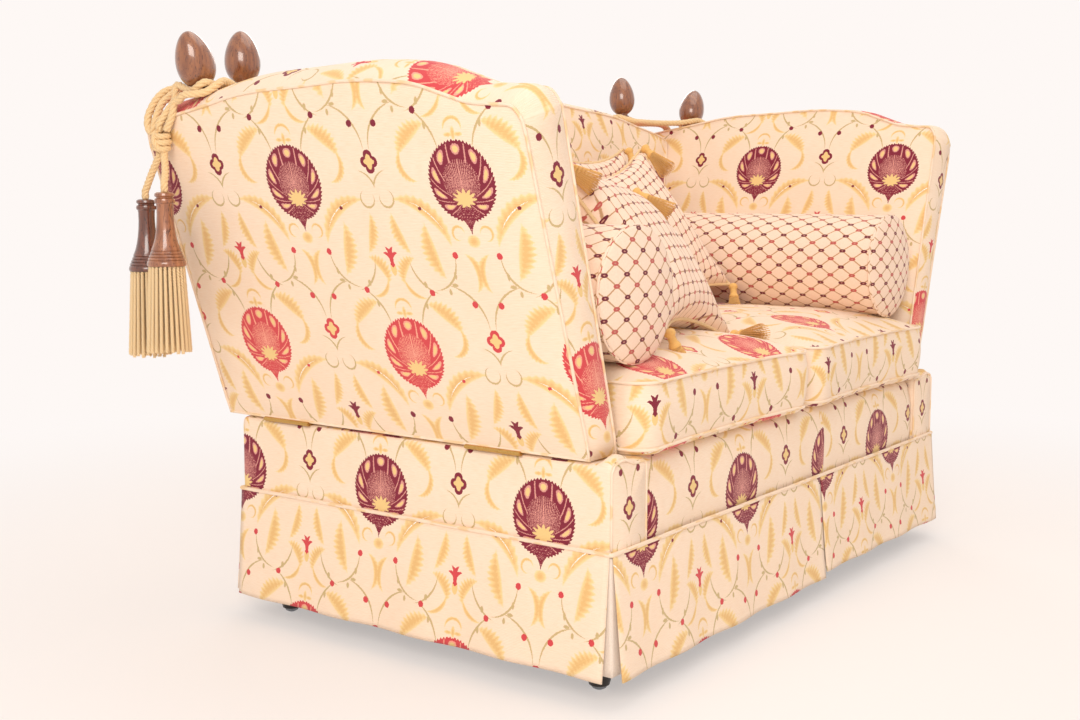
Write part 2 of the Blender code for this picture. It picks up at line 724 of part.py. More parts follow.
# Padded base
def block_section(y, scale, crown):
    """A section of a side block, across X and Z, drawn in by the scale and crowned on top."""
    left, right = -HALF_WIDTH, -BLOCK_INNER_X
    low, high = FRAME_UNDERSIDE, BASE_TOP
    centre = Vector(((left + right) / 2, 0, (low + high) / 2))
    r = PAD_ROUND
    flat = [(left, low), (left, (low + high) / 2), (left, high - r), (left + r / 3, high - r / 3),
            (left + r, high)]
    top_width = right - left
    flat += [(left + share * top_width, high) for share in BLOCK_TOP_SHARES]
    flat += [(right - r, high), (right, high - r), (right, low)]
    ring = []
    for x, z in flat:
        if z == high:
            share = (x - left) / top_width
            z += crown * max(0, sin(pi * min(1, share / BLOCK_CROWN_SHARE)))
        point = Vector((x, 0, z)) - centre
        point = Vector((point.x * scale, 0, point.z * scale)) + centre
        ring.append(Vector((point.x, y, point.z)))
    return ring


def build_side_block(side, hand):
    front, rear = -HALF_DEPTH, HALF_DEPTH
    r = PAD_ROUND
    crowned = ARM_FRONT_SETBACK - r
    sections = [(front, 0.93, 0.5), (front + r / 4, 0.98, 0.8), (front + r, 1, 1),
                (front + crowned / 2 + r / 2, 1, 1), (front + crowned, 1, 0), (rear - r, 1, 0),
                (rear - r / 4, 0.98, 0), (rear, 0.93, 0)]
    block = bmesh.new()
    skin(block, [block_section(y, scale, crown * BLOCK_CROWN) for y, scale, crown in sections])
    pad = finish(f"{side}_base_pad", block, FABRIC, hand)
    pocket = box(f"cut_{side}_base_pad",
                 (-RAIL_OUTER_X - CLEAR, -RAIL_OUTER_Y - CLEAR, FRAME_UNDERSIDE - OVERRUN),
                 (-BLOCK_INNER_X + OVERRUN, RAIL_OUTER_Y + CLEAR, RAIL_TOP + CLEAR), None, hand)
    combine(pad, pocket)


def build_front_border():
    face = -HALF_DEPTH + BORDER_RECESS
    back = -HALF_DEPTH + BORDER_RECESS + BORDER_TOP_DEPTH
    r = BORDER_TOP_ROUND
    low, high = FRAME_UNDERSIDE, BASE_TOP
    tall = high - low
    outline = [(face, low), (face - BORDER_BULGE / 2, low + tall / 3),
               (face - BORDER_BULGE, low + tall * 2 / 3), (face, high - r),
               (face + r * 0.13, high - r / 2), (face + r / 2, high - r * 0.13), (face + r, high),
               (back, high), (back, low)]
    border = bmesh.new()
    reach = BLOCK_INNER_X - CLEAR
    skin(border, [[Vector((x, y, z)) for y, z in outline] for x in (-reach, 0, reach)])
    pad = finish("front_border", border, FABRIC)
    pocket = box("cut_front_border",
                 (-HALF_WIDTH, -RAIL_OUTER_Y - CLEAR, FRAME_UNDERSIDE - OVERRUN),
                 (HALF_WIDTH, back + OVERRUN, RAIL_TOP + CLEAR), None)
    combine(pad, pocket)


def build_rear_pad():
    box("rear_base_pad", (-BLOCK_INNER_X + CLEAR, RAIL_OUTER_Y + CLEAR, FRAME_UNDERSIDE),
        (BLOCK_INNER_X - CLEAR, HALF_DEPTH, BASE_TOP), FABRIC, round_by=PAD_ROUND / 2)


# Back
def back_rear_y(z):
    return HALF_DEPTH + (z - HINGE_HEIGHT) * tan(BACK_RAKE)


def back_end_x(z):
    """Where the back's end stands beside the arm's inner face, on the right side."""
    inner = ARM_FACE_T + ARM_FOOT_THICKNESS
    height = (z - HINGE_HEIGHT - inner * sin(ARM_LEAN)) / (cos(ARM_LEAN) + ARM_TAPER * sin(ARM_LEAN))
    t = inner + ARM_TAPER * height
    return HINGE_X - t * cos(ARM_LEAN) + height * sin(ARM_LEAN) - BACK_END_GAP


def back_outline():
    """Points (x, z, swell) round the back's seam, from the left foot over the camel top."""
    low = HINGE_HEIGHT + CLEAR
    camel = [(x, z, 1.0) for x, z in CAMEL_SHARES]
    camel += [(0, 1.0, 1.0)] + [(-x, z, 1.0) for x, z in reversed(CAMEL_SHARES)]
    found = []
    shoulder = low + CAMEL_SHARES[0][1] * (BACK_CREST - low) - BACK_CROWN
    for share in BACK_SIDE_SHARES:
        z = low + share * (shoulder - low)
        found.append((-back_end_x(z) + (0 if share else BACK_END_RELIEF), z, 0))
    for x, z, swell in camel:
        z = low + z * (BACK_CREST - low)
        found.append((x * back_end_x(z), z, swell))
    for share in reversed(BACK_SIDE_SHARES):
        z = low + share * (shoulder - low)
        found.append((back_end_x(z) - (0 if share else BACK_END_RELIEF), z, 0))
    for share in BACK_FOOT_SHARES:
        found.append((share * back_end_x(low), low, 0))
    return found


BACK_OUTLINE = back_outline()
BACK_NORMALS = outward_normals([(x, z) for x, z, _ in BACK_OUTLINE])


def back_thickness(z):
    share = max(0, min(1, (z - HINGE_HEIGHT) / BACK_HEIGHT))
    return BACK_FOOT_THICKNESS + (BACK_TOP_THICKNESS - BACK_FOOT_THICKNESS) * share


def back_edge_ring(share):
    swell = 4 * share * (1 - share) * BACK_CROWN
    ring = []
    for (x, z, part), (nx, nz) in zip(BACK_OUTLINE, BACK_NORMALS):
        top = z + nz * swell * part
        y = back_rear_y(z) - share * back_thickness(z)
        ring.append(Vector((x, y, top)))
    return ring


def back_face_ring(front, scale, bulge):
    middle_z = HINGE_HEIGHT + BACK_CENTRE_SHARE * BACK_HEIGHT
    ring = []
    for x, z, _ in BACK_OUTLINE:
        x = scale * x
        z = middle_z + scale * (z - middle_z)
        y = back_rear_y(z)
        y += -back_thickness(z) - bulge * BACK_FACE_BULGE if front else bulge * BACK_REAR_BULGE
        ring.append(Vector((x, y, z)))
    return ring


def camel_height(x):
    """The height of the back's seam over a place between its ends."""
    top = [(px, pz) for px, pz, swell in BACK_OUTLINE if swell]
    a, b = next((a, b) for a, b in zip(top, top[1:]) if a[0] <= x <= b[0])
    return a[1] + (b[1] - a[1]) * (x - a[0]) / (b[0] - a[0])


def back_frame_rings(slack, low, near, far):
    """The outline of the timber in the back, or of its pocket, between two depths from the rear."""
    shoulder = BACK_OUTLINE[4][1] - BACK_FRAME_INSET + slack
    foot_x = back_end_x(low) - BACK_END_INSET + slack
    reach = back_end_x(shoulder) - BACK_END_INSET + slack
    tops = [(x, camel_height(x) - BACK_FRAME_INSET + slack)
            for x, z, swell in BACK_OUTLINE if swell and abs(x) < reach - BACK_FRAME_INSET]
    outline = [(-foot_x, low), (-reach, shoulder)] + tops + [(reach, shoulder), (foot_x, low)]
    return [[Vector((x, back_rear_y(z) - depth, z)) for x, z in outline] for depth in (near, far)]


def build_back():
    pad = bmesh.new()
    rings = [back_face_ring(False, s, b) for s, b in reversed(FACE_RING_SHARES)]
    rings += [back_edge_ring(share) for share in EDGE_STATION_SHARES]
    rings += [back_face_ring(True, s, b) for s, b in FACE_RING_SHARES]
    skin(pad, rings, (middle(rings[0]), middle(rings[-1])))
    back = finish("back_pad", pad, FABRIC)
    near, far = PAD_WALL, PAD_WALL + RAIL_THICKNESS
    frame_edit = bmesh.new()
    skin(frame_edit, back_frame_rings(0, RAIL_TOP + CLEAR, near, far))
    frame = finish("back_frame", frame_edit, BEECH)
    pocket_edit = bmesh.new()
    low = HINGE_HEIGHT - OVERRUN
    skin(pocket_edit, back_frame_rings(2 * CLEAR, low, near - CLEAR, far + CLEAR))
    combine(back, finish("cut_back_pad", pocket_edit, None))
    windows = bmesh.new()
    low = HINGE_HEIGHT + BACK_BOTTOM_RAIL
    for sx in (-1, 1):
        inner = BACK_STILE / 2
        outer = back_end_x(low) - BACK_END_INSET - BACK_STILE
        high = BACK_CREST - BACK_FRAME_INSET - BACK_TOP_RAIL - BACK_CROWN
        add_box(windows, (min(sx * inner, sx * outer), 0, low),
                (max(sx * inner, sx * outer), HALF_DEPTH + OVERRUN + BACK_HEIGHT, high))
    combine(frame, finish("cut_back_windows", windows, None))
    for side, hand in (("left", 1), ("right", -1)):
        foot = back_finial_foot()
        axis = Vector((0, sin(BACK_RAKE), cos(BACK_RAKE)))
        bore = bmesh.new()
        add_turned(bore, foot, axis, bore_profile())
        tool = finish(f"cut_{side}_back_finial", bore, None, hand)
        combine(back, tool)
        combine(frame, tool)
        turned = bmesh.new()
        add_turned(turned, foot, axis, finial_profile())
        finish(f"{side}_back_finial", turned, WALNUT, hand)
    return back


def back_finial_foot():
    """The underside of the left back finial's ring, which stands clear of the padding for the rope."""
    ring = back_edge_ring(0.5)
    above = [point for point in ring if point.z > HINGE_HEIGHT + BACK_HEIGHT / 2 and point.x < 0]
    above.sort(key=lambda point: point.x)
    crest = next(
        a.z + (b.z - a.z) * (-BACK_FINIAL_X - a.x) / (b.x - a.x)
        for a, b in zip(above, above[1:]) if a.x <= -BACK_FINIAL_X <= b.x
    )
    z = crest + BACK_FINIAL_STAND
    return Vector((-BACK_FINIAL_X, back_rear_y(z) - PAD_WALL - RAIL_THICKNESS / 2, z))


# Arms
def build_arm(side, hand):
    hinge = axis_empty(f"{side}_arm_axis", (-hand * HINGE_X, 0, HINGE_HEIGHT), -hand * ARM_LEAN)
    pad_edit = bmesh.new()
    rings = [arm_face_ring(False, s, b) for s, b in reversed(FACE_RING_SHARES)]
    rings += [arm_edge_ring(share) for share in EDGE_STATION_SHARES]
    rings += [arm_face_ring(True, s, b) for s, b in FACE_RING_SHARES]
    skin(pad_edit, rings, (middle(rings[0]), middle(rings[-1])))
    pad = finish(f"{side}_arm_pad", pad_edit, FABRIC, hand, hinge)
    low = ARM_POST_T - ARM_FRAME_THICKNESS / 2
    high = ARM_POST_T + ARM_FRAME_THICKNESS / 2
    frame_edit = bmesh.new()
    skin(frame_edit, arm_frame_rings(ARM_FRAME_INSET, low, high, 0))
    frame = finish(f"{side}_arm_frame", frame_edit, BEECH, hand, hinge)
    pocket_edit = bmesh.new()
    inset = ARM_FRAME_INSET - CLEAR
    skin(pocket_edit, arm_frame_rings(inset, low - CLEAR, high + CLEAR, OVERRUN))
    combine(pad, finish(f"cut_{side}_arm_pad", pocket_edit, None, hand, hinge))
    windows = bmesh.new()
    first = ARM_FRONT_Y + ARM_FRAME_INSET + ARM_STILE
    last = ARM_REAR_Y - ARM_FRAME_INSET - 2 * ARM_STILE
    half = (first + last) / 2
    top = ARM_HEIGHT - ARM_TOP_RAIL_DROP
    for start, end in ((first, half - ARM_STILE / 2), (half + ARM_STILE / 2, last)):
        add_box(windows, (low - OVERRUN, start, ARM_BOTTOM_RAIL), (high + OVERRUN, end, top))
    combine(frame, finish(f"cut_{side}_arm_windows", windows, None, hand, hinge))
    foot = (ARM_POST_T, ARM_FINIAL_Y, ARM_FINIAL_HEIGHT)
    bore = bmesh.new()
    add_turned(bore, foot, (0, 0, 1), bore_profile())
    tool = finish(f"cut_{side}_arm_finial", bore, None, hand, hinge)
    combine(pad, tool)
    combine(frame, tool)
    turned = bmesh.new()
    add_turned(turned, foot, (0, 0, 1), finial_profile())
    finish(f"{side}_arm_finial", turned, WALNUT, hand, hinge)
    build_hinge(f"{side}_front_hinge", hand, HINGE_FRONT)
    build_hinge(f"{side}_rear_hinge", hand, HINGE_REAR)
    return pad


def build_hinge(name, hand, place):
    """A butt hinge: a leaf under and a leaf over the seam, rolled round one pin that the lower leaf holds."""
    centre = Vector((-HINGE_X, place - HINGE_LENGTH / 2, HINGE_HEIGHT))
    length = HINGE_LENGTH / KNUCKLES
    reach = KNUCKLE_RADIUS + 2 * CLEAR
    for leaf, own, z in (("base", (0, 2, 4), -CLEAR / 2 - LEAF_THICKNESS), ("arm", (1, 3), CLEAR / 2)):
        plate, tongues, barrels, bore = (bmesh.new() for _ in range(4))
        add_box(plate, centre + Vector((reach, 0, z)),
                centre + Vector((LEAF_WIDTH, HINGE_LENGTH, z + LEAF_THICKNESS)))
        for i in own:
            a = i * length + CLEAR / 2
            b = (i + 1) * length - CLEAR / 2
            add_box(tongues, centre + Vector((KNUCKLE_RADIUS / 2, a, z)),
                    centre + Vector((LEAF_WIDTH / 2, b, z + LEAF_THICKNESS)))
            add_turned(barrels, centre + Vector((0, a, 0)), (0, 1, 0),
                       [(0, KNUCKLE_RADIUS), (b - a, KNUCKLE_RADIUS)], 8, (0, 0, 1))
        made = finish(f"{name}_{leaf}_leaf", plate, BRASS, hand)
        combine(made, finish(f"join_{name}_{leaf}_tongues", tongues, None, hand), "UNION")
        combine(made, finish(f"join_{name}_{leaf}_barrels", barrels, None, hand), "UNION")
        if leaf == "base":
            head = PIN_HEAD_LENGTH
            profile = [(-head, PIN_HEAD), (head / 2, PIN_HEAD), (head / 2, PIN_RADIUS),
                       (HINGE_LENGTH - head / 2, PIN_RADIUS), (HINGE_LENGTH - head / 2, PIN_HEAD),
                       (HINGE_LENGTH + head, PIN_HEAD)]
            add_turned(bore, centre, (0, 1, 0), profile, 6, (0, 0, 1))
            combine(made, finish(f"join_{name}_pin", bore, None, hand), "UNION")
        else:
            hole = PIN_RADIUS + CLEAR
            add_turned(bore, centre - Vector((0, OVERRUN, 0)), (0, 1, 0),
                       [(0, hole), (HINGE_LENGTH + 2 * OVERRUN, hole)], 6, (0, 0, 1))
            combine(made, finish(f"cut_{name}_bore", bore, None, hand))


# Rope ties
def knot_centre():
    """The left knot, lying on the outer face of the arm."""
    bulge = ARM_FACE_BULGE * FACE_RING_SHARES[1][1]
    return arm_point(ARM_FACE_T - bulge - KNOT_RADIUS, KNOT_Y, KNOT_HEIGHT)


def tie_route():
    """The left tie: from the knot round both finials and back, twice, doubling back at a bight."""
    arm = arm_point(ARM_POST_T, ARM_FINIAL_Y, ARM_FINIAL_HEIGHT)
    back = back_finial_foot()
    knot = knot_centre()
    step = 2 * ROPE_RADIUS + SOFT_CLEAR
    ring = FINIAL_SHARES[1][1] * FINIAL_RADIUS
    tight = ring + ROPE_RADIUS + 2 * SOFT_CLEAR
    loose = tight + step
    rise = Vector((0, 0, KNOT_RADIUS))

    def arc(centre, radius, angles, lean=0.0):
        turn = Matrix.Rotation(-lean, 3, "Y")
        return [centre + turn @ Vector((cos(radians(a)), sin(radians(a)), 0)) * radius for a in angles]

    def belt(radius, shift):
        top = arm + Vector((0, 0, ROPE_RADIUS))
        far = back - Vector((0, 0, ROPE_RADIUS + ROPE_LIFT))
        places = arc(top, radius + SOFT_CLEAR, ARM_TURN_ANGLES, ARM_LEAN)
        places += arc(top.lerp(far, 0.5), radius, BACK_TURN_ANGLES[:1])
        places += arc(far, radius, BACK_TURN_ANGLES)
        places += [far.lerp(top, 0.45) + Vector((0, radius + shift, 0))]
        places += [far.lerp(top, 0.85) + Vector((-radius, radius + 2.4 * shift, 0))]
        return places

    edge = arm_point(ARM_FACE_T, KNOT_Y, ARM_HEIGHT * 0.93)
    out = Vector((-ROPE_RADIUS, 0, 0))
    crown = Vector((0, 0, KNOT_RADIUS + ROPE_LIFT))
    first = [knot + crown + Vector((0, step * 0.05, 0)),
             knot + rise * 1.7 + Vector((0, -step * 0.15, 0)),
             edge + out + Vector((0, -step * 1.0, ROPE_RADIUS))]
    last = [edge + out + Vector((0, -step * 2.35, ROPE_RADIUS)),
            knot + rise * 1.7 + Vector((0, -step * 1.35, 0)),
            knot + crown + Vector((0, -step * 1.02, 0))]
    bight = [edge + out + Vector((0, step * 1.4, ROPE_RADIUS)),
             knot + rise * 1.5 + Vector((0, step * 1.25, 0)),
             knot + rise * 0.6 + Vector((0, step * 1.9, 0)),
             knot + rise * 1.4 + Vector((0, step * 2.6, 0)),
             edge + out + Vector((0, step * 2.75, ROPE_RADIUS))]
    inner = belt(tight, ROPE_SPREAD)
    outer = belt(loose, ROPE_SPREAD)
    return first + inner + bight + list(reversed(outer)) + last


def even_points(points, count):
    """The same route with its points evenly spaced."""
    lengths = [0]
    for a, b in zip(points, points[1:]):
        lengths.append(lengths[-1] + (b - a).length)
    found = []
    k = 0
    for i in range(count):
        want = lengths[-1] * i / (count - 1)
        while k < len(points) - 2 and lengths[k + 1] < want:
            k += 1
        found.append(points[k].lerp(points[k + 1], (want - lengths[k]) / (lengths[k + 1] - lengths[k])))
    return found


def lay_on(points, surfaces, distance):
    """Push a rope's stretches out of surfaces until each stands the given distance off; its ends stay."""
    for i in range(1, len(points) - 2):
        for surface in surfaces:
            for share in (0, 0.25, 0.5, 0.75):
                place = points[i].lerp(points[i + 1], share)
                near, normal, _, gap = surface.find_nearest(place)
                if gap >= distance and (place - near).dot(normal) >= 0:
                    continue
                push = near + normal * distance - place
                points[i] = points[i] + push
                if share:
                    points[i + 1] = points[i + 1] + push


def near_stretches(points, apart):
    """Each point of a rope with the stretches that pass it nearer than the given distance."""
    for i, point in enumerate(points):
        for j in range(len(points) - 1):
            if j - 4 < i < j + 5:
                continue
            span = points[j + 1] - points[j]
            share = max(0, min(1, (point - points[j]).dot(span) / span.length_squared))
            offset = point - points[j] - span * share
            if offset.length < apart:
                yield i, j, share, offset


def relax(points, surfaces, distance, apart):
    """Draw a rope tight over what it lies on, with its stretches side by side and its ends held."""
    for turn in range(ROPE_ROUNDS):
        for i in range(1, len(points) - 1):
            points[i] = points[i].lerp((points[i - 1] + points[i + 1]) / 2, ROPE_SLACK_SHARE)
        for _ in range(3):
            for i, j, share, offset in list(near_stretches(points, apart)):
                push = offset.normalized() * (apart - offset.length) / 3
                for k, part in ((i, 1), (j, share - 1), (j + 1, -share)):
                    if 0 < k < len(points) - 1:
                        points[k] = points[k] + push * part
            lay_on(points, surfaces, distance)


def least_gap(points, diameter):
    """The least distance between stretches of a rope that aren't neighbours, less its diameter."""
    return min((offset.length for *_, offset in near_stretches(points, 2 * diameter))) - diameter


def mirrored(points):
    return [Vector((-point.x, point.y, point.z)) for point in points]


def build_tie(surfaces):
    route = even_points(smooth(tie_route(), 6), ROPE_POINTS)
    relax(route, surfaces, ROPE_RADIUS + ROPE_LIFT + SOFT_CLEAR, 2 * ROPE_RADIUS + ROPE_LIFT)
    print(f"tie rope: {len(route)} points, least gap to itself {least_gap(route, 2 * ROPE_RADIUS) * 1000:.2f} mm")
    for side, hand in (("left", 1), ("right", -1)):
        points = route if hand > 0 else mirrored(route)
        tube(f"{side}_tie_rope", points, ROPE_RADIUS, ROPE)
        build_tassels(side, hand)
    return route


def build_tassels(side, hand):
    knot = knot_centre()
    knot_edit = bmesh.new()
    ball = [(-cos(a), sin(a)) for a in (pi * i / 8 for i in range(9))]
    profile = [(along * KNOT_RADIUS, max(0, radius) * KNOT_RADIUS if 0 < i < 8 else 0)
               for i, (along, radius) in enumerate(ball)]
    add_turned(knot_edit, knot, (0, 0, 1), profile, 12)
    finish(f"{side}_tie_knot", knot_edit, ROPE, hand)
    places = (("rear", REAR_TASSEL_OUT, REAR_TASSEL_ALONG, REAR_TASSEL_DROP),
              ("front", FRONT_TASSEL_OUT, FRONT_TASSEL_ALONG, FRONT_TASSEL_DROP))
    for place, out, along, drop in places:
        top = knot + Vector((-out, along, -drop))
        aside = ROPE_RADIUS + CLEAR if along > 0 else -ROPE_RADIUS - CLEAR
        start = knot + Vector((0, aside, -KNOT_RADIUS - CLEAR))
        bend = [start, start - Vector((0, 0, ROPE_RADIUS)),
                start.lerp(top, 0.5) + Vector((0, along * 0.08, 0)),
                top + Vector((0, 0, 2 * ROPE_RADIUS + CLEAR)), top + Vector((0, 0, CLEAR))]
        route = [bend[0]] + smooth(bend[1:-1], 3) + [bend[-1]]
        points = route if hand > 0 else mirrored(route)
        tube(f"{side}_{place}_tail", points, ROPE_RADIUS, ROPE, resolution=2)
        build_tassel(f"{side}_{place}_tassel", top, hand)


def build_tassel(name, top, hand):
    """A turned wooden head, and under it a bullion fringe grooved where its cords lie side by side."""
    count = 2 * FRINGE_CORDS
    rings = []
    for share, part in HEAD_SHARES:
        rings.append(ring_round(top - Vector((0, 0, share * HEAD_HEIGHT)), part * HEAD_RADIUS,
                                (0, 0, -1), (0, 1, 0), count))
    foot = top - Vector((0, 0, HEAD_HEIGHT))
    for share in FRINGE_SHARES:
        radius = FRINGE_TOP_RADIUS + (FRINGE_RADIUS - FRINGE_TOP_RADIUS) * min(1, share * 2)
        centre = foot - Vector((0, 0, share * FRINGE_LENGTH))
        full = ring_round(centre, radius, (0, 0, -1), (0, 1, 0), count)
        drawn = ring_round(centre, radius - FRINGE_GROOVE, (0, 0, -1), (0, 1, 0), count)
        rings.append([drawn[i] if i % 2 else full[i] for i in range(count)])
    tassel = bmesh.new()
    skin(tassel, rings)
    finish(name, tassel, WALNUT, hand)


# Skirt
def skirt_panel(name, start, end, outward, splits=(0, 0)):
    """A hanging panel between two points of the base's outline, flared and gently waved."""
    start, end, outward = Vector(start), Vector(end), Vector(outward)
    run = end - start
    length = run.length
    columns = max(4, round(length / SKIRT_WAVE_PITCH * 4))
    downs = SKIRT_DOWN_SHARES
    top = SKIRT_TOP - WELT_RADIUS / 2
    panel = bmesh.new()
    layers = []
    for depth in (0, SKIRT_THICKNESS):
        rows = []
        for down in downs:
            row = []
            for i in range(columns + 1):
                share = i / columns
                wave = SKIRT_WAVE * down * (1 + cos(2 * pi * share * length / SKIRT_WAVE_PITCH))
                off = SKIRT_STAND + SKIRT_FLARE * down + wave + depth
                low = SKIRT_BOTTOM + splits[0] * (1 - share) + splits[1] * share
                z = top + (low - top) * down
                place = start + run * share + outward * off
                row.append(panel.verts.new((place.x, place.y, z)))
            rows.append(row)
        layers.append(rows)
    inner, outer = layers
    last = len(downs) - 1
    for r in range(last):
        for c in range(columns):
            panel.faces.new((inner[r][c], inner[r][c + 1], inner[r + 1][c + 1], inner[r + 1][c]))
            panel.faces.new((outer[r][c], outer[r + 1][c], outer[r + 1][c + 1], outer[r][c + 1]))
        for c in (0, columns):
            panel.faces.new((inner[r][c], inner[r + 1][c], outer[r + 1][c], outer[r][c]))
    for c in range(columns):
        for r in (0, last):
            panel.faces.new((inner[r][c], inner[r][c + 1], outer[r][c + 1], outer[r][c]))
    return finish(name, panel, FABRIC)


def build_skirt():
    x, y = HALF_WIDTH, HALF_DEPTH
    split = SKIRT_SPLIT_GAP / 2
    skirt_panel("left_skirt", (-x, -y, 0), (-x, y, 0), (-1, 0, 0))
    skirt_panel("right_skirt", (x, -y, 0), (x, y, 0), (1, 0, 0))
    skirt_panel("rear_skirt", (-x, y, 0), (x, y, 0), (0, 1, 0))
    skirt_panel("front_left_skirt", (-x, -y, 0), (SKIRT_SPLIT_X - split, -y, 0), (0, -1, 0),
                (0, -SKIRT_SPLIT_LIFT / 2))
    skirt_panel("front_right_skirt", (SKIRT_SPLIT_X + split, -y, 0), (x, -y, 0), (0, -1, 0),
                (SKIRT_SPLIT_LIFT, 0))
    off = WELT_RADIUS + CLEAR
    z = SKIRT_TOP + WELT_RADIUS / 2 + CLEAR
    loop = []
    for sx, sy in ((-1, -1), (1, -1), (1, 1), (-1, 1)):
        for turn in (0, 1, 2):
            angle = pi / 4 * turn
            a, b = (sin(angle), cos(angle)) if sx * sy < 0 else (cos(angle), sin(angle))
            loop.append((sx * (x + off * a), sy * (y + off * b), z))
    tube("skirt_welt", loop, WELT_RADIUS, FABRIC, closed=True)


# Loose cushions
def rounded_rectangle(width, depth, corner, pull):
    """Outline of a cushion: round corners, with each side drawn in towards its middle."""
    found = []
    for quarter, (sx, sy) in enumerate(((1, -1), (1, 1), (-1, 1), (-1, -1))):
        centre = Vector((sx * (width / 2 - corner), sy * (depth / 2 - corner), 0))
        for i in range(3):
            angle = -pi / 2 + quarter * pi / 2 + i * pi / 4
            found.append(centre + Vector((cos(angle), sin(angle), 0)) * corner)
        nxt = ((1, 1), (-1, 1), (-1, -1), (1, -1))[quarter]
        stop = Vector((nxt[0] * (width / 2 - corner), nxt[1] * (depth / 2 - corner), 0))
        away = Vector((cos(quarter * pi / 2), sin(quarter * pi / 2), 0))
        for share in CUSHION_SIDE_SHARES:
            place = centre.lerp(stop, share) + away * (corner - pull * sin(pi * share))
            found.append(place)
    return found


def build_seat_cushion(side, left, right):
    width, depth = right - left, SEAT_CUSHION_FRONT + SEAT_CUSHION_REAR
    centre = Vector(((left + right) / 2, (SEAT_CUSHION_REAR - SEAT_CUSHION_FRONT) / 2, 0))
    outline = rounded_rectangle(width, depth, SEAT_CORNER, SEAT_SIDE_PULL)
    low, high = HINGE_HEIGHT + SEAT_SEAM_RISE, SEAT_TOP_SEAM

    def ring(scale, z, bulge=0.0):
        return [centre + point * scale + point.normalized() * bulge + Vector((0, 0, z))
                for point in outline]

    bottom = HINGE_HEIGHT + CLEAR
    rings = [ring(0.5, bottom), ring(0.93, bottom)]
    rings += [ring(0.985, (bottom + low) / 2), ring(1, low)]
    boxing = SEAT_BOXING
    rings += [ring(1, low + boxing / 4, SEAT_BOXING_BULGE * 0.7),
              ring(1, low + boxing / 2, SEAT_BOXING_BULGE),
              ring(1, low + boxing * 3 / 4, SEAT_BOXING_BULGE * 0.7), ring(1, high)]
    for share in reversed(CUSHION_TOP_SHARES):
        rings.append(ring(share, high + SEAT_CROWN * (1 - share**CUSHION_CROWN_POWER)))
    cushion = bmesh.new()
    skin(cushion, rings, (centre + Vector((0, 0, bottom)), centre + Vector((0, 0, high + SEAT_CROWN))))
    return finish(f"{side}_seat_cushion", cushion, FABRIC)


def build_bolster(side, hand):
    rings = []
    length = BOLSTER_LENGTH
    z = SEAT_TOP_SEAM + BOLSTER_RADIUS
    foot = Vector((-BOLSTER_X, -BOLSTER_FRONT, z))
    seam = BOLSTER_PIPING_WIDTH
    stations = [(-BOLSTER_CAP_DOME * (1 - s**2), s) for s in BOLSTER_CAP_SHARES]
    stations += [(0, 1.0 - BOLSTER_PIPING / BOLSTER_RADIUS), (seam / 2, 1.0 + BOLSTER_PIPING / 2 / BOLSTER_RADIUS)]
    stations += [(seam, 1.0 - BOLSTER_PIPING / BOLSTER_RADIUS)]
    for share in BOLSTER_STATION_SHARES:
        stations.append((share * length, 1.0 - BOLSTER_SAG / BOLSTER_RADIUS * (1 - sin(pi * share))))
    stations += [(length - along, share) for along, share in reversed(stations[:6])]
    for along, share in stations:
        rings.append(ring_round(foot + Vector((0, along, 0)), BOLSTER_RADIUS * share, (0, 1, 0), (0, 0, 1), 20))
    bolster = bmesh.new()
    ends = (foot - Vector((0, BOLSTER_CAP_DOME, 0)), foot + Vector((0, length + BOLSTER_CAP_DOME, 0)))
    skin(bolster, rings, ends)
    return finish(f"{side}_bolster", bolster, TRELLIS, hand)


def scatter_frame(across, upward):
    """Axes of a cushion from the run of one diagonal and a hint for the other."""
    a = Vector(across).normalized()
    b = Vector(upward)
    b = (b - a * b.dot(a)).normalized()
    side = (a + b).normalized()
    other = (b - a).normalized()
    return side, other, side.cross(other)


def build_scatter(name, centre, across, upward, side, thickness):
    """A knife-edge cushion: crowned faces, sides drawn in between pointed corners.

    The patches at the corners are split so that the two faces only share the corner's point.
    """
    u_axis, v_axis, normal = scatter_frame(across, upward)
    cells = SCATTER_CELLS
    half = side / 2
    pull = SCATTER_PULL / half
    cushion = bmesh.new()
    sheets = []
    for face in (1, -1):
        grid = []
        for i in range(cells + 1):
            row = []
            for j in range(cells + 1):
                u, v = 2 * i / cells - 1, 2 * j / cells - 1
                rim = i in (0, cells) or j in (0, cells)
                if face < 0 and rim:
                    row.append(sheets[0][i][j])
                    continue
                x = u * (1 - pull * (1 - v * v) * u * u)
                y = v * (1 - pull * (1 - u * u) * v * v)
                fat = ((1 - u * u) * (1 - v * v)) ** SCATTER_FAT_POWER
                place = u_axis * (x * half) + v_axis * (y * half)
                row.append(cushion.verts.new(place + normal * (face * fat * thickness / 2)))
            grid.append(row)
        sheets.append(grid)
        for i in range(cells):
            for j in range(cells):
                patch = [grid[i][j], grid[i + 1][j], grid[i + 1][j + 1], grid[i][j + 1]]
                if i in (0, cells - 1) and j in (0, cells - 1):
                    a, b, c, d = patch if i == j else patch[1:] + patch[:1]
                    cushion.faces.new((a, b, c))
                    cushion.faces.new((a, c, d))
                else:
                    cushion.faces.new(patch)
    made = finish(name, cushion, TRELLIS)
    made.location = centre
    return made


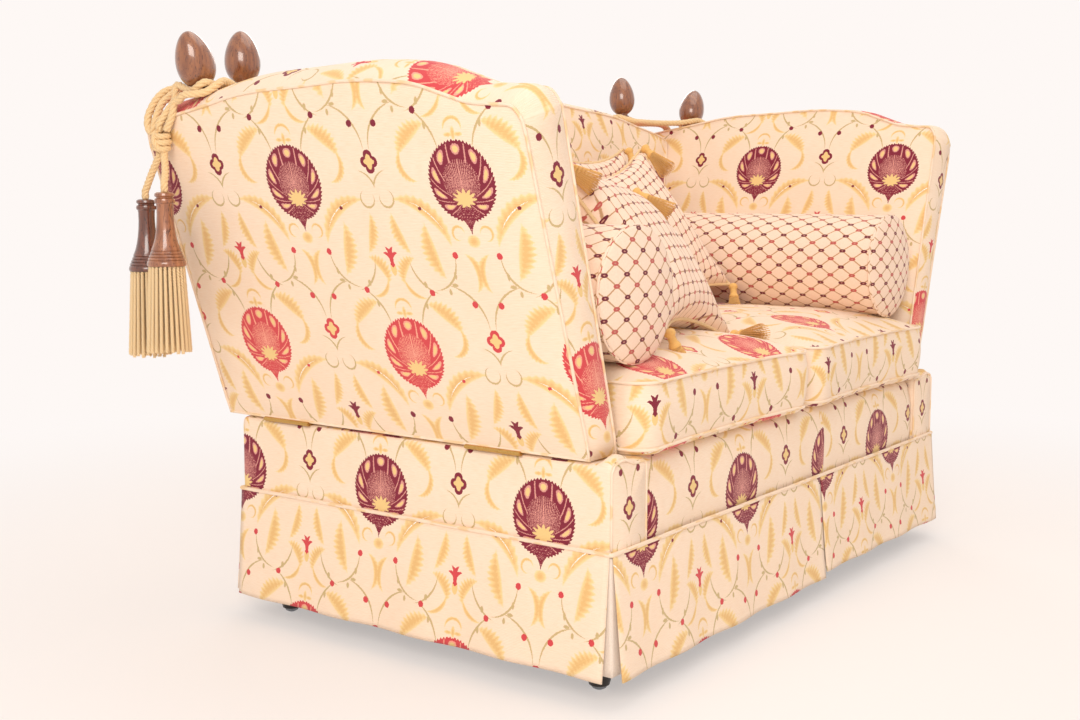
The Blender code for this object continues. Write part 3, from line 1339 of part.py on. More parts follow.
def build_cushions():
    deck = [bpy.data.objects[name] for name in ("seat_deck", "left_base_pad", "right_base_pad", "front_border")]
    middle_x = SEAT_CUSHION_MIDDLE
    left = build_seat_cushion("left", -SEAT_CUSHION_OUTER, middle_x - SEAT_CUSHION_GAP / 2)
    right = build_seat_cushion("right", middle_x + SEAT_CUSHION_GAP / 2, SEAT_CUSHION_OUTER)
    for cushion in (left, right):
        settle(cushion, deck, SOFT_CLEAR)
    bolsters = {}
    for side, hand, carrier in (("left", 1, left), ("right", -1, right)):
        bolsters[side] = build_bolster(side, hand)
        settle(bolsters[side], [carrier], SOFT_CLEAR)
    lift = SEAT_TOP_SEAM + SCATTER_SIDE
    back = build_scatter(
        "back_scatter_cushion", (BACK_SCATTER_X, BACK_SCATTER_Y, lift), (1, 0, -1.0), (1, 0.16, 1.2),
        SCATTER_SIDE, SCATTER_BACK_THICKNESS)
    settle(back, [right], SOFT_CLEAR)
    settle(back, [bpy.data.objects["back_pad"]], SOFT_CLEAR, (0, 1, 0))
    settle(back, [right], SOFT_CLEAR)
    mid = build_scatter(
        "middle_scatter_cushion", (MIDDLE_SCATTER_X, MIDDLE_SCATTER_Y, lift), (0.805, -0.411, -0.428),
        (0.574, 0.361, 0.734), SCATTER_LESS, SCATTER_THICKNESS)
    settle(mid, [left, right], SOFT_CLEAR)
    settle(mid, [back], 2 * SOFT_CLEAR, (0, 1, 0))
    settle(mid, [left, right], 4 * SOFT_CLEAR)
    front = build_scatter(
        "front_scatter_cushion", (FRONT_SCATTER_X, FRONT_SCATTER_Y, lift), (0.688, -0.324, -0.648),
        (0.69, 0.575, 0.437), SCATTER_LESS, SCATTER_THICKNESS)
    settle(front, [left], SOFT_CLEAR)
    for cushion in (back, mid, front):
        print(cushion.name, "rests at", [round(place, 3) for place in cushion.location])


build_base_frame()
build_feet()
build_suspension()
for block_side, block_hand in (("left", 1), ("right", -1)):
    build_side_block(block_side, block_hand)
build_front_border()
build_rear_pad()
back_pad = build_back()
arm_pads = [build_arm(arm_side, arm_hand) for arm_side, arm_hand in (("left", 1), ("right", -1))]
build_tie([outer_tree(made) for made in (
    arm_pads[0], back_pad, bpy.data.objects["left_arm_finial"], bpy.data.objects["left_back_finial"])])
build_skirt()
build_cushions()
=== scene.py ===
# %% [markdown]
# # A knole sofa, dressed
# The imported solids are a frame: bodies, joints and every node in its place. This notebook puts the
# upholstery, the ropes and the turned wood on that frame.

# %% Load the frame
from math import atan2, cos, pi, radians, sin, tan

import bmesh
import bpy
import numpy as np
from mathutils import Matrix, Vector, noise


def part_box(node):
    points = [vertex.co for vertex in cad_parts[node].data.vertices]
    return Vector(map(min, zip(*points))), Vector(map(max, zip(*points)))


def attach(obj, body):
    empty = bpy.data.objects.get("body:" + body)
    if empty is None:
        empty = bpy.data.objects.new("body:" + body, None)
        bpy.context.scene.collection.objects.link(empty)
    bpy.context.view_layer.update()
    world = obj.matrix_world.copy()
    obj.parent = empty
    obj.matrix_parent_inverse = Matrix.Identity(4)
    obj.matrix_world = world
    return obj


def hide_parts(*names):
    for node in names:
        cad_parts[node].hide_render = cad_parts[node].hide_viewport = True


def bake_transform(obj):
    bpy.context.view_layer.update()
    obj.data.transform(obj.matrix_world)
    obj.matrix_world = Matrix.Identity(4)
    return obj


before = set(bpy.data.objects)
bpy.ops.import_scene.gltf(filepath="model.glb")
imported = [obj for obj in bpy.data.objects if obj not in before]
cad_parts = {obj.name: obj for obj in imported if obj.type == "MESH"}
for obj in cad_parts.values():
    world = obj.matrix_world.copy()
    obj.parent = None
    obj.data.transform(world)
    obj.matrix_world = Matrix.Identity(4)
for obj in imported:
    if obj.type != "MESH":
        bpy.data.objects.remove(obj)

noise.seed_set(7)   # Blender takes its noise seed from the clock otherwise, and no two runs would match
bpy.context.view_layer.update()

# %% [markdown]
# ## The camera
# The photograph was taken from in front of the left arm, 80 cm above the floor, with a normal lens.
# The place and angles below were fitted to corners of the sofa whose real places are known. A
# turn of 36 degrees from the sofa's length brings the outer face of the near arm into view.

# %% Camera
CAMERA_PLACE = Vector((-2.4145, -1.5506, 0.8019))
CAMERA_YAW, CAMERA_PITCH = radians(36.16), radians(-6.97)
camera = bpy.data.objects.new("camera", bpy.data.cameras.new("camera"))
bpy.context.scene.collection.objects.link(camera)
camera.data.lens = 45.93
camera.data.sensor_width = 36
camera.location = CAMERA_PLACE
looking = Vector((cos(CAMERA_YAW) * cos(CAMERA_PITCH), sin(CAMERA_YAW) * cos(CAMERA_PITCH),
                  sin(CAMERA_PITCH)))
camera.rotation_euler = looking.to_track_quat("-Z", "Y").to_euler()
bpy.context.scene.camera = camera
print("camera looks along", [round(part, 3) for part in looking])

# %% [markdown]
# ## Colours and shader nodes
# Colours are written as sRGB hex values, as a paint chart or a photo editor shows them, and one
# function turns them into the linear values that Cycles computes with. One more function adds a
# shader node, sets it up and links it. Its inputs are numbers, colours or other nodes' outputs.
# Colours are mixed so often that this has a short function of its own.

# %% Small helpers
def colour(code):
    parts = [int(code[i:i + 2], 16) / 255 for i in (0, 2, 4)]
    return (*[p / 12.92 if p <= 0.04045 else ((p + 0.055) / 1.055) ** 2.4 for p in parts], 1)


def add(tree, kind, *values, out=0, **settings):
    """Add a node; values fill its sockets in order, or a dictionary says which by number or name.

    A kind in capitals is an operation of a Math node. A shader node goes by its short name.
    """
    if kind.isupper():
        kind, settings["operation"] = "Math", kind
    if not kind.startswith(("Geometry", "Function")):
        kind = "ShaderNode" + kind
    node = tree.nodes.new(kind)
    for key, value in settings.items():
        setattr(node, key, value)
    slots = values[0] if values and isinstance(values[0], dict) else dict(enumerate(values))
    for slot, value in slots.items():
        if isinstance(value, bpy.types.NodeSocket):
            tree.links.new(value, node.inputs[slot])
        elif value is not None:
            node.inputs[slot].default_value = value
    return node.outputs[out] if len(node.outputs) else node


def mix(tree, share, first, second):
    """One colour running into another."""
    return add(tree, "Mix", {0: share, 6: first, 7: second}, out=2, data_type="RGBA")


def new_look(name):
    """An empty material; the shader's socket and the tree come back with it."""
    made = bpy.data.materials.new(name)
    made.use_nodes = True
    made.node_tree.nodes.clear()
    end = made.node_tree.nodes.new("ShaderNodeOutputMaterial")
    return made, made.node_tree, end.inputs["Surface"]


print("white is", colour("FFFFFF"))

# %% [markdown]
# ## Floor and light
# The sofa stands on a pale studio floor that runs into the background. A large soft box on the
# camera's side and a wide overhead one keep the shadows soft, and the world fills in the rest.
# What the camera sees beyond the floor is plain near-white, taken from Light Path, and the
# floor fades into it away from the sofa, so neither adds light to the cloth.

# %% Studio
def looked_at(tree):
    """1 on rays from the camera, in a reflection too, and 0 on rays that light the sofa."""
    path = add(tree, "LightPath").node.outputs
    seen = add(tree, "MAXIMUM", path["Is Camera Ray"], path["Is Glossy Ray"])
    return add(tree, "MAXIMUM", seen, path["Is Transmission Ray"])


floor_look, tree, surface = new_look("painted studio floor")
grit = add(tree, "TexNoise", {2: 3.0, 3: 4.0})
floor_tone = mix(tree, grit, colour("F8F2EE"), colour("FCF7F3"))
floor_shader = add(tree, "BsdfPrincipled", {0: floor_tone, 2: 0.85})
place = add(tree, "TexCoord", out="Object")
distance = add(tree, "VectorMath", place, out=1, operation="LENGTH")
fade = add(tree, "MapRange", distance, 0.9, 2.6, 0.45, 1.0, interpolation_type="SMOOTHSTEP")
fade = add(tree, "MULTIPLY", fade, looked_at(tree))
glow = add(tree, "Emission", colour("FEF8F5"), 1.0)
floor_mix = add(tree, "MixShader", fade, floor_shader, glow)
tree.links.new(floor_mix, surface)
floor_mesh = bpy.data.meshes.new("floor")
floor_mesh.from_pydata([(-9, -9, 0), (9, -9, 0), (9, 9, 0), (-9, 9, 0)], [], [(0, 1, 2, 3)])
floor_mesh.materials.append(floor_look)
floor = bpy.data.objects.new("floor", floor_mesh)
bpy.context.scene.collection.objects.link(floor)

world = bpy.context.scene.world or bpy.data.worlds.new("studio")
bpy.context.scene.world = world
world.use_nodes = True
tree = world.node_tree
tree.nodes.clear()
fill_light = add(tree, "Background", colour("FFF4EC"), 0.62)
backdrop = add(tree, "Background", colour("FEF8F5"), 1.0)
mixed = add(tree, "MixShader", looked_at(tree), fill_light, backdrop)
end = tree.nodes.new("ShaderNodeOutputWorld")
tree.links.new(mixed, end.inputs["Surface"])


def soft_box(name, place, target, size, power):
    light = bpy.data.lights.new(name, "AREA")
    light.shape = "RECTANGLE"
    light.size, light.size_y = size
    light.energy = power
    light.color = colour("FFF9F2")[:3]
    made = bpy.data.objects.new(name, light)
    made.location = place
    made.rotation_euler = (Vector(target) - Vector(place)).to_track_quat("-Z", "Y").to_euler()
    bpy.context.scene.collection.objects.link(made)


soft_box("key", (-4.0, -2.2, 2.7), (0, 0, 0.6), (2.4, 2.0), 112)
soft_box("overhead", (0.4, -0.4, 3.6), (0, 0, 0.4), (3.2, 2.6), 36)
soft_box("rim", (2.8, 2.6, 2.4), (0, 0, 0.6), (2.0, 1.6), 24)
bpy.context.scene.view_settings.view_transform = "Standard"
# %% [markdown]
# ## The floral cloth
# The cover is a heavy woven furnishing cloth: a cream ground with tall crimson and coral
# palmettes in staggered rows, joined by gold leaves and thin olive stems. A weaver repeats one
# drawing, so the shader does too. One palmette with everything around it is drawn once, in
# metres, on the half to the right of its middle line, and used in every row: crimson in one,
# coral and half a step across in the next.
#
# Every leaf, stem and curl is an arc of a circle with a width that runs to nothing at its ends,
# so one node group draws them all. Its inputs are the arc's centre, radius, middle angle, half
# span and half width, and its output is 0 outside, rising to 1 on the leaf's vein. A leaf is
# serrated on its outer flank and fuller there, as the weaver drew it.

# %% The arc leaf
def new_group(name, inputs, outputs):
    made = bpy.data.node_groups.new(name, "ShaderNodeTree")
    for kind, label in inputs:
        made.interface.new_socket(label, in_out="INPUT", socket_type="NodeSocket" + kind)
    for label in outputs:
        made.interface.new_socket(label, in_out="OUTPUT", socket_type="NodeSocketFloat")
    return made, made.nodes.new("NodeGroupInput").outputs, made.nodes.new("NodeGroupOutput").inputs


tree, given, result = new_group(
    "arc leaf",
    [("Vector", "Place"), ("Vector", "Centre"), ("Float", "Radius"), ("Float", "Middle"),
     ("Float", "Half span"), ("Float", "Half width"), ("Float", "Teeth")], ["Leaf"])
off = add(tree, "VectorMath", given["Place"], given["Centre"], operation="SUBTRACT")
reach = add(tree, "VectorMath", off, out=1, operation="LENGTH")
split = add(tree, "SeparateXYZ", off).node.outputs
angle = add(tree, "ARCTAN2", split[1], split[0])
angle = add(tree, "SUBTRACT", angle, given["Middle"])
angle = add(tree, "WRAP", angle, pi, -pi)
along = add(tree, "DIVIDE", angle, given["Half span"])
ends = add(tree, "MULTIPLY", along, along)
ends = add(tree, "SUBTRACT", 1.0, ends)
across = add(tree, "SUBTRACT", reach, given["Radius"])
across = add(tree, "DIVIDE", across, given["Half width"])
sweep = add(tree, "ABSOLUTE", across)
sweep = add(tree, "MULTIPLY", sweep, 2.6)
teeth = add(tree, "MULTIPLY_ADD", along, 34.0, sweep)
teeth = add(tree, "SINE", teeth)
outer = add(tree, "GREATER_THAN", across, -0.25)
teeth = add(tree, "MULTIPLY", teeth, outer)
teeth = add(tree, "MULTIPLY_ADD", teeth, given["Teeth"], 1.0)
teeth = add(tree, "MULTIPLY", teeth, ends)
flank = add(tree, "MULTIPLY", across, -1.45)
across = add(tree, "MAXIMUM", across, flank)
leaf = add(tree, "SUBTRACT", teeth, across)
inside = add(tree, "GREATER_THAN", ends, 0.0)
leaf = add(tree, "MULTIPLY", leaf, inside)
leaf = add(tree, "MAXIMUM", leaf, 0.0)
tree.links.new(leaf, result["Leaf"])
leaf_group = tree
print("arc leaf:", len(tree.nodes), "nodes")

# %% [markdown]
# Buds, teardrops, the cup and the seed head are ovals. They get a smaller group of the same kind:
# 1 in the middle of the oval, falling to 0 on its edge.

# %% The oval
tree, given, result = new_group(
    "oval", [("Vector", "Place"), ("Vector", "Centre"), ("Vector", "Radii")], ["Oval"])
off = add(tree, "VectorMath", given["Place"], given["Centre"], operation="SUBTRACT")
off = add(tree, "VectorMath", off, given["Radii"], operation="DIVIDE")
size = add(tree, "VectorMath", off, out=1, operation="LENGTH")
oval = add(tree, "SUBTRACT", 1.0, size)
oval = add(tree, "MAXIMUM", oval, 0.0)
tree.links.new(oval, result["Oval"])
spot_group = tree
print("oval:", len(tree.nodes), "nodes")

# %% [markdown]
# The palmette is the part that the eye finds first. It is an upright oval of about 12 by 13 cm
# whose rays all leave one point low on its middle line, with a pale teardrop between each pair
# of rays and a tail that tapers downwards. Bending the plane so that this low point becomes the
# centre lets plain polar coordinates draw the rays and teardrops.

# %% The palmette
tree, given, result = new_group("palmette", [("Vector", "Place")], ["Bloom", "Pale", "Heart"])
place = add(tree, "VectorMath", given["Place"], (0.0608, 0.0630, 1.0), operation="DIVIDE")
edge = add(tree, "VectorMath", place, out=1, operation="LENGTH")
split = add(tree, "SeparateXYZ", place).node.outputs
lift = add(tree, "MULTIPLY", edge, edge)
lift = add(tree, "SUBTRACT", 1.0, lift)
high = add(tree, "MULTIPLY_ADD", lift, 0.56, split[1])
turn = add(tree, "ARCTAN2", split[0], high)
bent = add(tree, "CombineXYZ", split[0], high, 0.0)
far = add(tree, "VectorMath", bent, out=1, operation="LENGTH")
scallop = add(tree, "MULTIPLY", turn, 58.0)
scallop = add(tree, "SINE", scallop)
rim = add(tree, "MULTIPLY_ADD", scallop, 0.022, edge)
disc = add(tree, "LESS_THAN", rim, 1.0)

# the tail: a small fan whose sides curve in to a point
split = add(tree, "SeparateXYZ", given["Place"]).node.outputs
drawn = add(tree, "MapRange", split[1], -0.0850, -0.0500, 0.0, 1.0)
drawn = add(tree, "POWER", drawn, 1.7)
drawn = add(tree, "MULTIPLY", drawn, 0.0215)
side = add(tree, "ABSOLUTE", split[0])
tail = add(tree, "LESS_THAN", side, drawn)
stop = add(tree, "LESS_THAN", split[1], -0.0500)
tail = add(tree, "MULTIPLY", tail, stop)
fan = add(tree, "Group", given["Place"], (0, -0.051, 0), (0.0215, 0.0110, 1), node_tree=spot_group)
fan = add(tree, "GREATER_THAN", fan, 0.0)
tail = add(tree, "MAXIMUM", tail, fan)
disc = add(tree, "MAXIMUM", disc, tail)
tree.links.new(disc, result["Bloom"])

# eleven petals share the rim; each holds a teardrop that points inwards
petal = add(tree, "MULTIPLY", turn, 11 / (2 * pi))
petal = add(tree, "WRAP", petal, 0.5, -0.5)
petal = add(tree, "MULTIPLY", petal, edge)
whole = add(tree, "ABSOLUTE", petal)
gap = add(tree, "MULTIPLY", edge, 0.5)
gap = add(tree, "SUBTRACT", gap, whole)
ray = add(tree, "LESS_THAN", gap, 0.030)
start = add(tree, "GREATER_THAN", edge, 0.52)
ray = add(tree, "MULTIPLY", ray, start)
narrow = add(tree, "MULTIPLY_ADD", edge, -3.2, 3.65)
narrow = add(tree, "MULTIPLY", petal, narrow)
drop_place = add(tree, "CombineXYZ", narrow, edge, 0.0)
drop = add(tree, "Group", drop_place, (0, 0.79, 0), (0.215, 0.130, 1), node_tree=spot_group)
ring = add(tree, "GREATER_THAN", drop, 0.0)
inner = add(tree, "GREATER_THAN", drop, 0.34)

# pale hairs spread from the low point, and a gold flame stands in it
hairs = add(tree, "MULTIPLY", turn, 90.0)
hairs = add(tree, "SINE", hairs)
fleck = add(tree, "TexNoise", {0: given["Place"], 2: 520.0, 3: 1.0})
hairs = add(tree, "MULTIPLY_ADD", fleck, 6.0, hairs)
fade = add(tree, "MULTIPLY_ADD", edge, 2.6, 2.3)
hairs = add(tree, "GREATER_THAN", hairs, fade)
near = add(tree, "LESS_THAN", edge, 0.56)
hairs = add(tree, "MULTIPLY", hairs, near)
pale = add(tree, "MAXIMUM", ring, ray)
pale = add(tree, "MAXIMUM", pale, hairs)
inner_edge = add(tree, "LESS_THAN", edge, 0.955)
pale = add(tree, "MULTIPLY", pale, inner_edge)
scale = add(tree, "GREATER_THAN", fleck, 0.60)
pale = add(tree, "Mix", {0: tail, 2: pale, 3: scale})
tree.links.new(pale, result["Pale"])
star = add(tree, "MULTIPLY", turn, 11.0)
star = add(tree, "COSINE", star)
star = add(tree, "MULTIPLY_ADD", star, 0.07, 0.30)
star = add(tree, "LESS_THAN", far, star)
heart = add(tree, "MAXIMUM", star, inner)
heart = add(tree, "SUBTRACT", heart, tail)
tree.links.new(heart, result["Heart"])
bloom_group = tree
print("palmette:", len(tree.nodes), "nodes")

# %% [markdown]
# One repeat of the drawing is 35 cm wide and 29 cm high, and every other row moves half a repeat
# across. Positions below are in metres from the middle of a palmette, on its right half, and
# Absolute mirrors them. The shader finds which row a point is in and works in that row's own
# coordinates. A leaf that reaches into the next row is listed there too, because a point in that
# row never looks at this one. Mirror lines make this simple: the half step across turns x into
# half a step less x, and an angle into 180 degrees less that angle.

# %% The drawing, once
REPEAT_X, REPEAT_Y = 0.35, 0.29
HALF_STEP = REPEAT_X / 2
ROW_FOOT = -0.095
GOLD_LEAVES = [   # centre x, y, radius, middle angle, half span, half width, teeth
    (0.140, -0.126, 0.0985, 127, 41, 0.0160, 0.13),    # the long leaf with an eye
    (-0.045, -0.082, 0.136, -13, 21, 0.0177, 0.20),    # a feather below it
    (0.049, -0.053, 0.1034, -18, 21, 0.0125, 0.18),    # a small feather under the rosette
    (0.055, 0.128, 0.039, 144, 46, 0.0128, 0.22),      # beside the lily
    (0.0356, 0.005, 0.0859, 52, 28, 0.0173, 0.20),     # over the palmette's shoulder
    (0.084, 0.031, 0.030, -24, 68, 0.0077, 0.12),      # its stalk, turning back to the palmette
    (0.043, -0.149, 0.040, 172, 55, 0.0090, 0.10),     # the crossed pair under the tail
    (0.026, -0.082, 0.0110, 40, 150, 0.0033, 0.0),     # a curl beside the tail
    (0.055, 0.137, 0.038, 230, 46, 0.0054, 0.0),       # a stalk under the lily
    (0.000, 0.078, 0.017, 70, 75, 0.0038, 0.0),        # the arch over the palmette
]
OLIVE_STEMS = [
    (0.100, -0.120, 0.057, 221, 48, 0.0026, 0.0), (0.095, 0.050, 0.074, 41, 45, 0.0026, 0.0),
    (0.120, 0.035, 0.088, 146, 28, 0.0026, 0.0), (0.155, -0.026, 0.014, 250, 150, 0.0025, 0.0),
    (0.100, 0.170, 0.064, 222, 38, 0.0026, 0.0), (0.140, -0.017, 0.037, 30, 55, 0.0023, 0.0),
]
VEIN = [(0.140, -0.126, 0.0985, 128, 23, 0.0011, 0.0)]
BUDS = [(0.0415, -0.117, 0.0056, 0.0060), (0.070, 0.109, 0.0058, 0.0058),
        (0.150, 0.093, 0.0058, 0.0060), (0.0925, -0.042, 0.0036, 0.0032)]
OLIVE_BUDS = [(0.052, 0.086, 0.0032, 0.0068), (0.060, 0.122, 0.0040, 0.0065),
              (0.120, 0.124, 0.0070, 0.0034), (0.108, 0.112, 0.0034, 0.0060),
              (0.050, -0.150, 0.0032, 0.0070)]
GOLD_OVALS = [(0.0, -0.094, 0.013, 0.0110), (0.0, 0.073, 0.0045, 0.0110), (0.010, 0.071, 0.0085, 0.0036)]


def in_rows(shapes):
    """Each shape, and the same shape as the rows above and below see it."""
    found = []
    for shape in shapes:
        x, y, radius = shape[:3]
        if len(shape) == 7:
            middle, span, width = shape[3:6]
            heights = [y + radius * sin(radians(middle + span * part)) for part in np.linspace(-1, 1, 21)]
            low, high = min(heights) - width, max(heights) + width
        else:
            low, high = y - shape[3], y + shape[3]
        for step in (0, 1, -1):
            bottom = ROW_FOOT - step * REPEAT_Y
            if low < bottom + REPEAT_Y and high > bottom:
                turned = (HALF_STEP - x, y + step * REPEAT_Y, *shape[2:]) if step else shape
                if step and len(shape) == 7:
                    turned = (*turned[:3], 180 - shape[3], *shape[4:])
                found.append(turned)
    return found


motif_group, given, result = new_group(
    "repeat", [("Vector", "Cloth")], ["Gold", "Olive", "Vein", "Bloom", "Pale", "Heart", "Coral row"])
split = add(motif_group, "SeparateXYZ", given["Cloth"]).node.outputs
row = add(motif_group, "SUBTRACT", split[1], ROW_FOOT)
row = add(motif_group, "DIVIDE", row, REPEAT_Y)
row = add(motif_group, "FLOOR", row)
odd = add(motif_group, "WRAP", row, 2.0, 0.0)
up = add(motif_group, "MULTIPLY_ADD", row, -REPEAT_Y, split[1])
aside = add(motif_group, "MULTIPLY_ADD", odd, -HALF_STEP, split[0])
aside = add(motif_group, "WRAP", aside, HALF_STEP, -HALF_STEP)
aside = add(motif_group, "ABSOLUTE", aside)
place = add(motif_group, "CombineXYZ", aside, up, 0.0)


def draw(shapes, total, floor=None):
    """The greatest of many leaves or ovals; with a floor, their plain outline."""
    for shape in in_rows(shapes):
        if len(shape) == 7:
            x, y, radius, middle, span, width, teeth = shape
            one = add(motif_group, "Group", place, (x, y, 0), radius, radians(middle),
                      radians(span), width, teeth, node_tree=leaf_group)
        else:
            x, y, wide, tall = shape
            one = add(motif_group, "Group", place, (x, y, 0), (wide, tall, 1),
                      node_tree=spot_group)
        if floor is not None:
            one = add(motif_group, "GREATER_THAN", one, floor)
        total = add(motif_group, "MAXIMUM", total, one)
    return total


gold = draw(GOLD_LEAVES + GOLD_OVALS, 0.0)
olive = draw(OLIVE_STEMS + OLIVE_BUDS, 0.0)
vein = draw(VEIN, 0.0)
blooms = add(motif_group, "Group", place, node_tree=bloom_group).node.outputs
bloom = draw(BUDS, blooms["Bloom"], 0.05)
# the lily over the palmette: a bulb, a waist and curled petals
bloom = draw([(0.0, 0.148, 0.0060, 0.0120), (0.0, 0.167, 0.0044, 0.0140)], bloom, 0.0)
bloom = draw([(0.0130, 0.1640, 0.0100, 135, 55, 0.0036, 0.0),
              (0.0150, 0.1740, 0.0125, 165, 42, 0.0032, 0.0)], bloom, 0.02)
# the rosette stands on the other mirror line, between two palmettes: four lobes round a gold heart
bloom = draw([(HALF_STEP, 0.0440, 0.0088, 0.0080), (HALF_STEP, 0.0220, 0.0088, 0.0080),
              (0.1665, 0.0330, 0.0088, 0.0088)], bloom, 0.0)
seed = draw([(HALF_STEP, 0.033, 0.0060, 0.0125), (HALF_STEP, 0.033, 0.0110, 0.0056)], 0.0)
seed = add(motif_group, "GREATER_THAN", seed, 0.0)
heart = add(motif_group, "MAXIMUM", blooms["Heart"], seed)
for label, value in (("Gold", gold), ("Olive", olive), ("Vein", vein), ("Bloom", bloom),
                     ("Pale", blooms["Pale"]), ("Heart", heart), ("Coral row", odd)):
    motif_group.links.new(value, result[label])
print("one repeat:", len(motif_group.nodes), "nodes")

# %% [markdown]
# ### From the drawing to cloth
# Gold thread lies on the cream ground first, olive over it, then the blooms: crimson in one row,
# coral in the next. The cloth itself is a ribbed weave with slubs, so the ground's colour wavers
# a little from pick to pick, and a fine bump gives the light something to catch. Real ribs are
# about 0.8 mm apart, too fine for this picture, and are drawn 2.4 mm apart here.

# %% Floral cloth
def floral_cloth(name, drawn=True):
    made, tree, surface = new_look(name)
    cloth = add(tree, "UVMap", uv_map="cloth")
    slub = add(tree, "Mapping", {0: cloth, 3: (60, 700, 1)})
    slub = add(tree, "TexNoise", {0: slub, 2: 1.0, 3: 2.0})
    mottle = add(tree, "TexNoise", {0: cloth, 2: 9.0, 3: 3.0})
    paint = mix(tree, mottle, colour("F8DFC6"), colour("FDEAD6"))
    pick = add(tree, "MapRange", slub, 0.40, 0.75, 0.0, 0.35)
    paint = mix(tree, pick, paint, colour("F0CDA8"))
    if drawn:
        paint = draw_on(tree, cloth, slub, paint)
    else:
        thread = add(tree, "TexNoise", {0: cloth, 2: 26.0, 3: 1.0})
        thread = add(tree, "MapRange", thread, 0.52, 0.60, 0.0, 0.7)
        paint = mix(tree, thread, paint, colour("F0CB92"))
    split = add(tree, "SeparateXYZ", cloth).node.outputs
    rib = add(tree, "MULTIPLY", split[1], 2 * pi / 0.0024)
    rib = add(tree, "SINE", rib)
    rise = add(tree, "MULTIPLY_ADD", slub, 2.4, rib)
    bump = add(tree, "Bump", {0: 0.30, 1: 0.0006, 3: rise})
    shader = add(tree, "BsdfPrincipled", {0: paint, 2: 0.78, 5: bump, "Sheen Weight": 0.18,
                                          "Sheen Roughness": 0.5, "Specular IOR Level": 0.25})
    tree.links.new(shader, surface)
    return made


def draw_on(tree, cloth, slub, paint):
    """The woven drawing over a ground colour."""
    jag = add(tree, "TexNoise", {0: cloth, 2: 620.0, 3: 1.0}, out=1)
    jag = add(tree, "VectorMath", jag, (0.5, 0.5, 0.5), operation="SUBTRACT")
    jag = add(tree, "VectorMath", jag, (0.0026, 0.0032, 0.0), cloth, operation="MULTIPLY_ADD")
    part = add(tree, "Group", jag, node_tree=motif_group).node.outputs
    tone = add(tree, "MapRange", part["Gold"], 0.15, 0.85, 0.0, 1.0)
    tone = add(tree, "MULTIPLY_ADD", slub, 0.7, tone)
    tone = add(tree, "MapRange", tone, 0.3, 1.2, 0.0, 1.0)
    tone = mix(tree, tone, colour("F7DCA0"), colour("E9BD78"))
    cover = add(tree, "MapRange", part["Gold"], 0.0, 0.22, 0.0, 0.92)
    paint = mix(tree, cover, paint, tone)
    dash = add(tree, "GREATER_THAN", slub, 0.40)
    dash = add(tree, "MULTIPLY", part["Vein"], dash)
    dash = add(tree, "GREATER_THAN", dash, 0.12)
    paint = mix(tree, dash, paint, colour("FFFBF4"))
    cover = add(tree, "MapRange", part["Olive"], 0.0, 0.30, 0.0, 0.80)
    paint = mix(tree, cover, paint, colour("BFA768"))
    deep = mix(tree, part["Coral row"], colour("83253A"), colour("D64A50"))
    light = mix(tree, part["Coral row"], colour("DE9C92"), colour("F3A892"))
    deep = mix(tree, part["Pale"], deep, light)
    deep = mix(tree, part["Heart"], deep, colour("F0CF8E"))
    return mix(tree, part["Bloom"], paint, deep)


FLORAL = floral_cloth("woven floral furnishing cloth")
PIPED = floral_cloth("floral cloth cut on the bias for piping", False)
print(FLORAL.name, "-", len(FLORAL.node_tree.nodes), "nodes")

# %% [markdown]
# ## The trellis cloth
# Bolsters and scatter cushions are in a second cloth: tan lines cross it in diamonds about 5 by
# 3.6 cm, and an oval bead sits on each crossing, dark red and coral in turn. Two slanting
# coordinates run along the two sets of lines, so each line is where one of them is a whole
# number, and each crossing where both are.

# %% Trellis cloth
DIAMOND_X, DIAMOND_Y = 0.050, 0.036


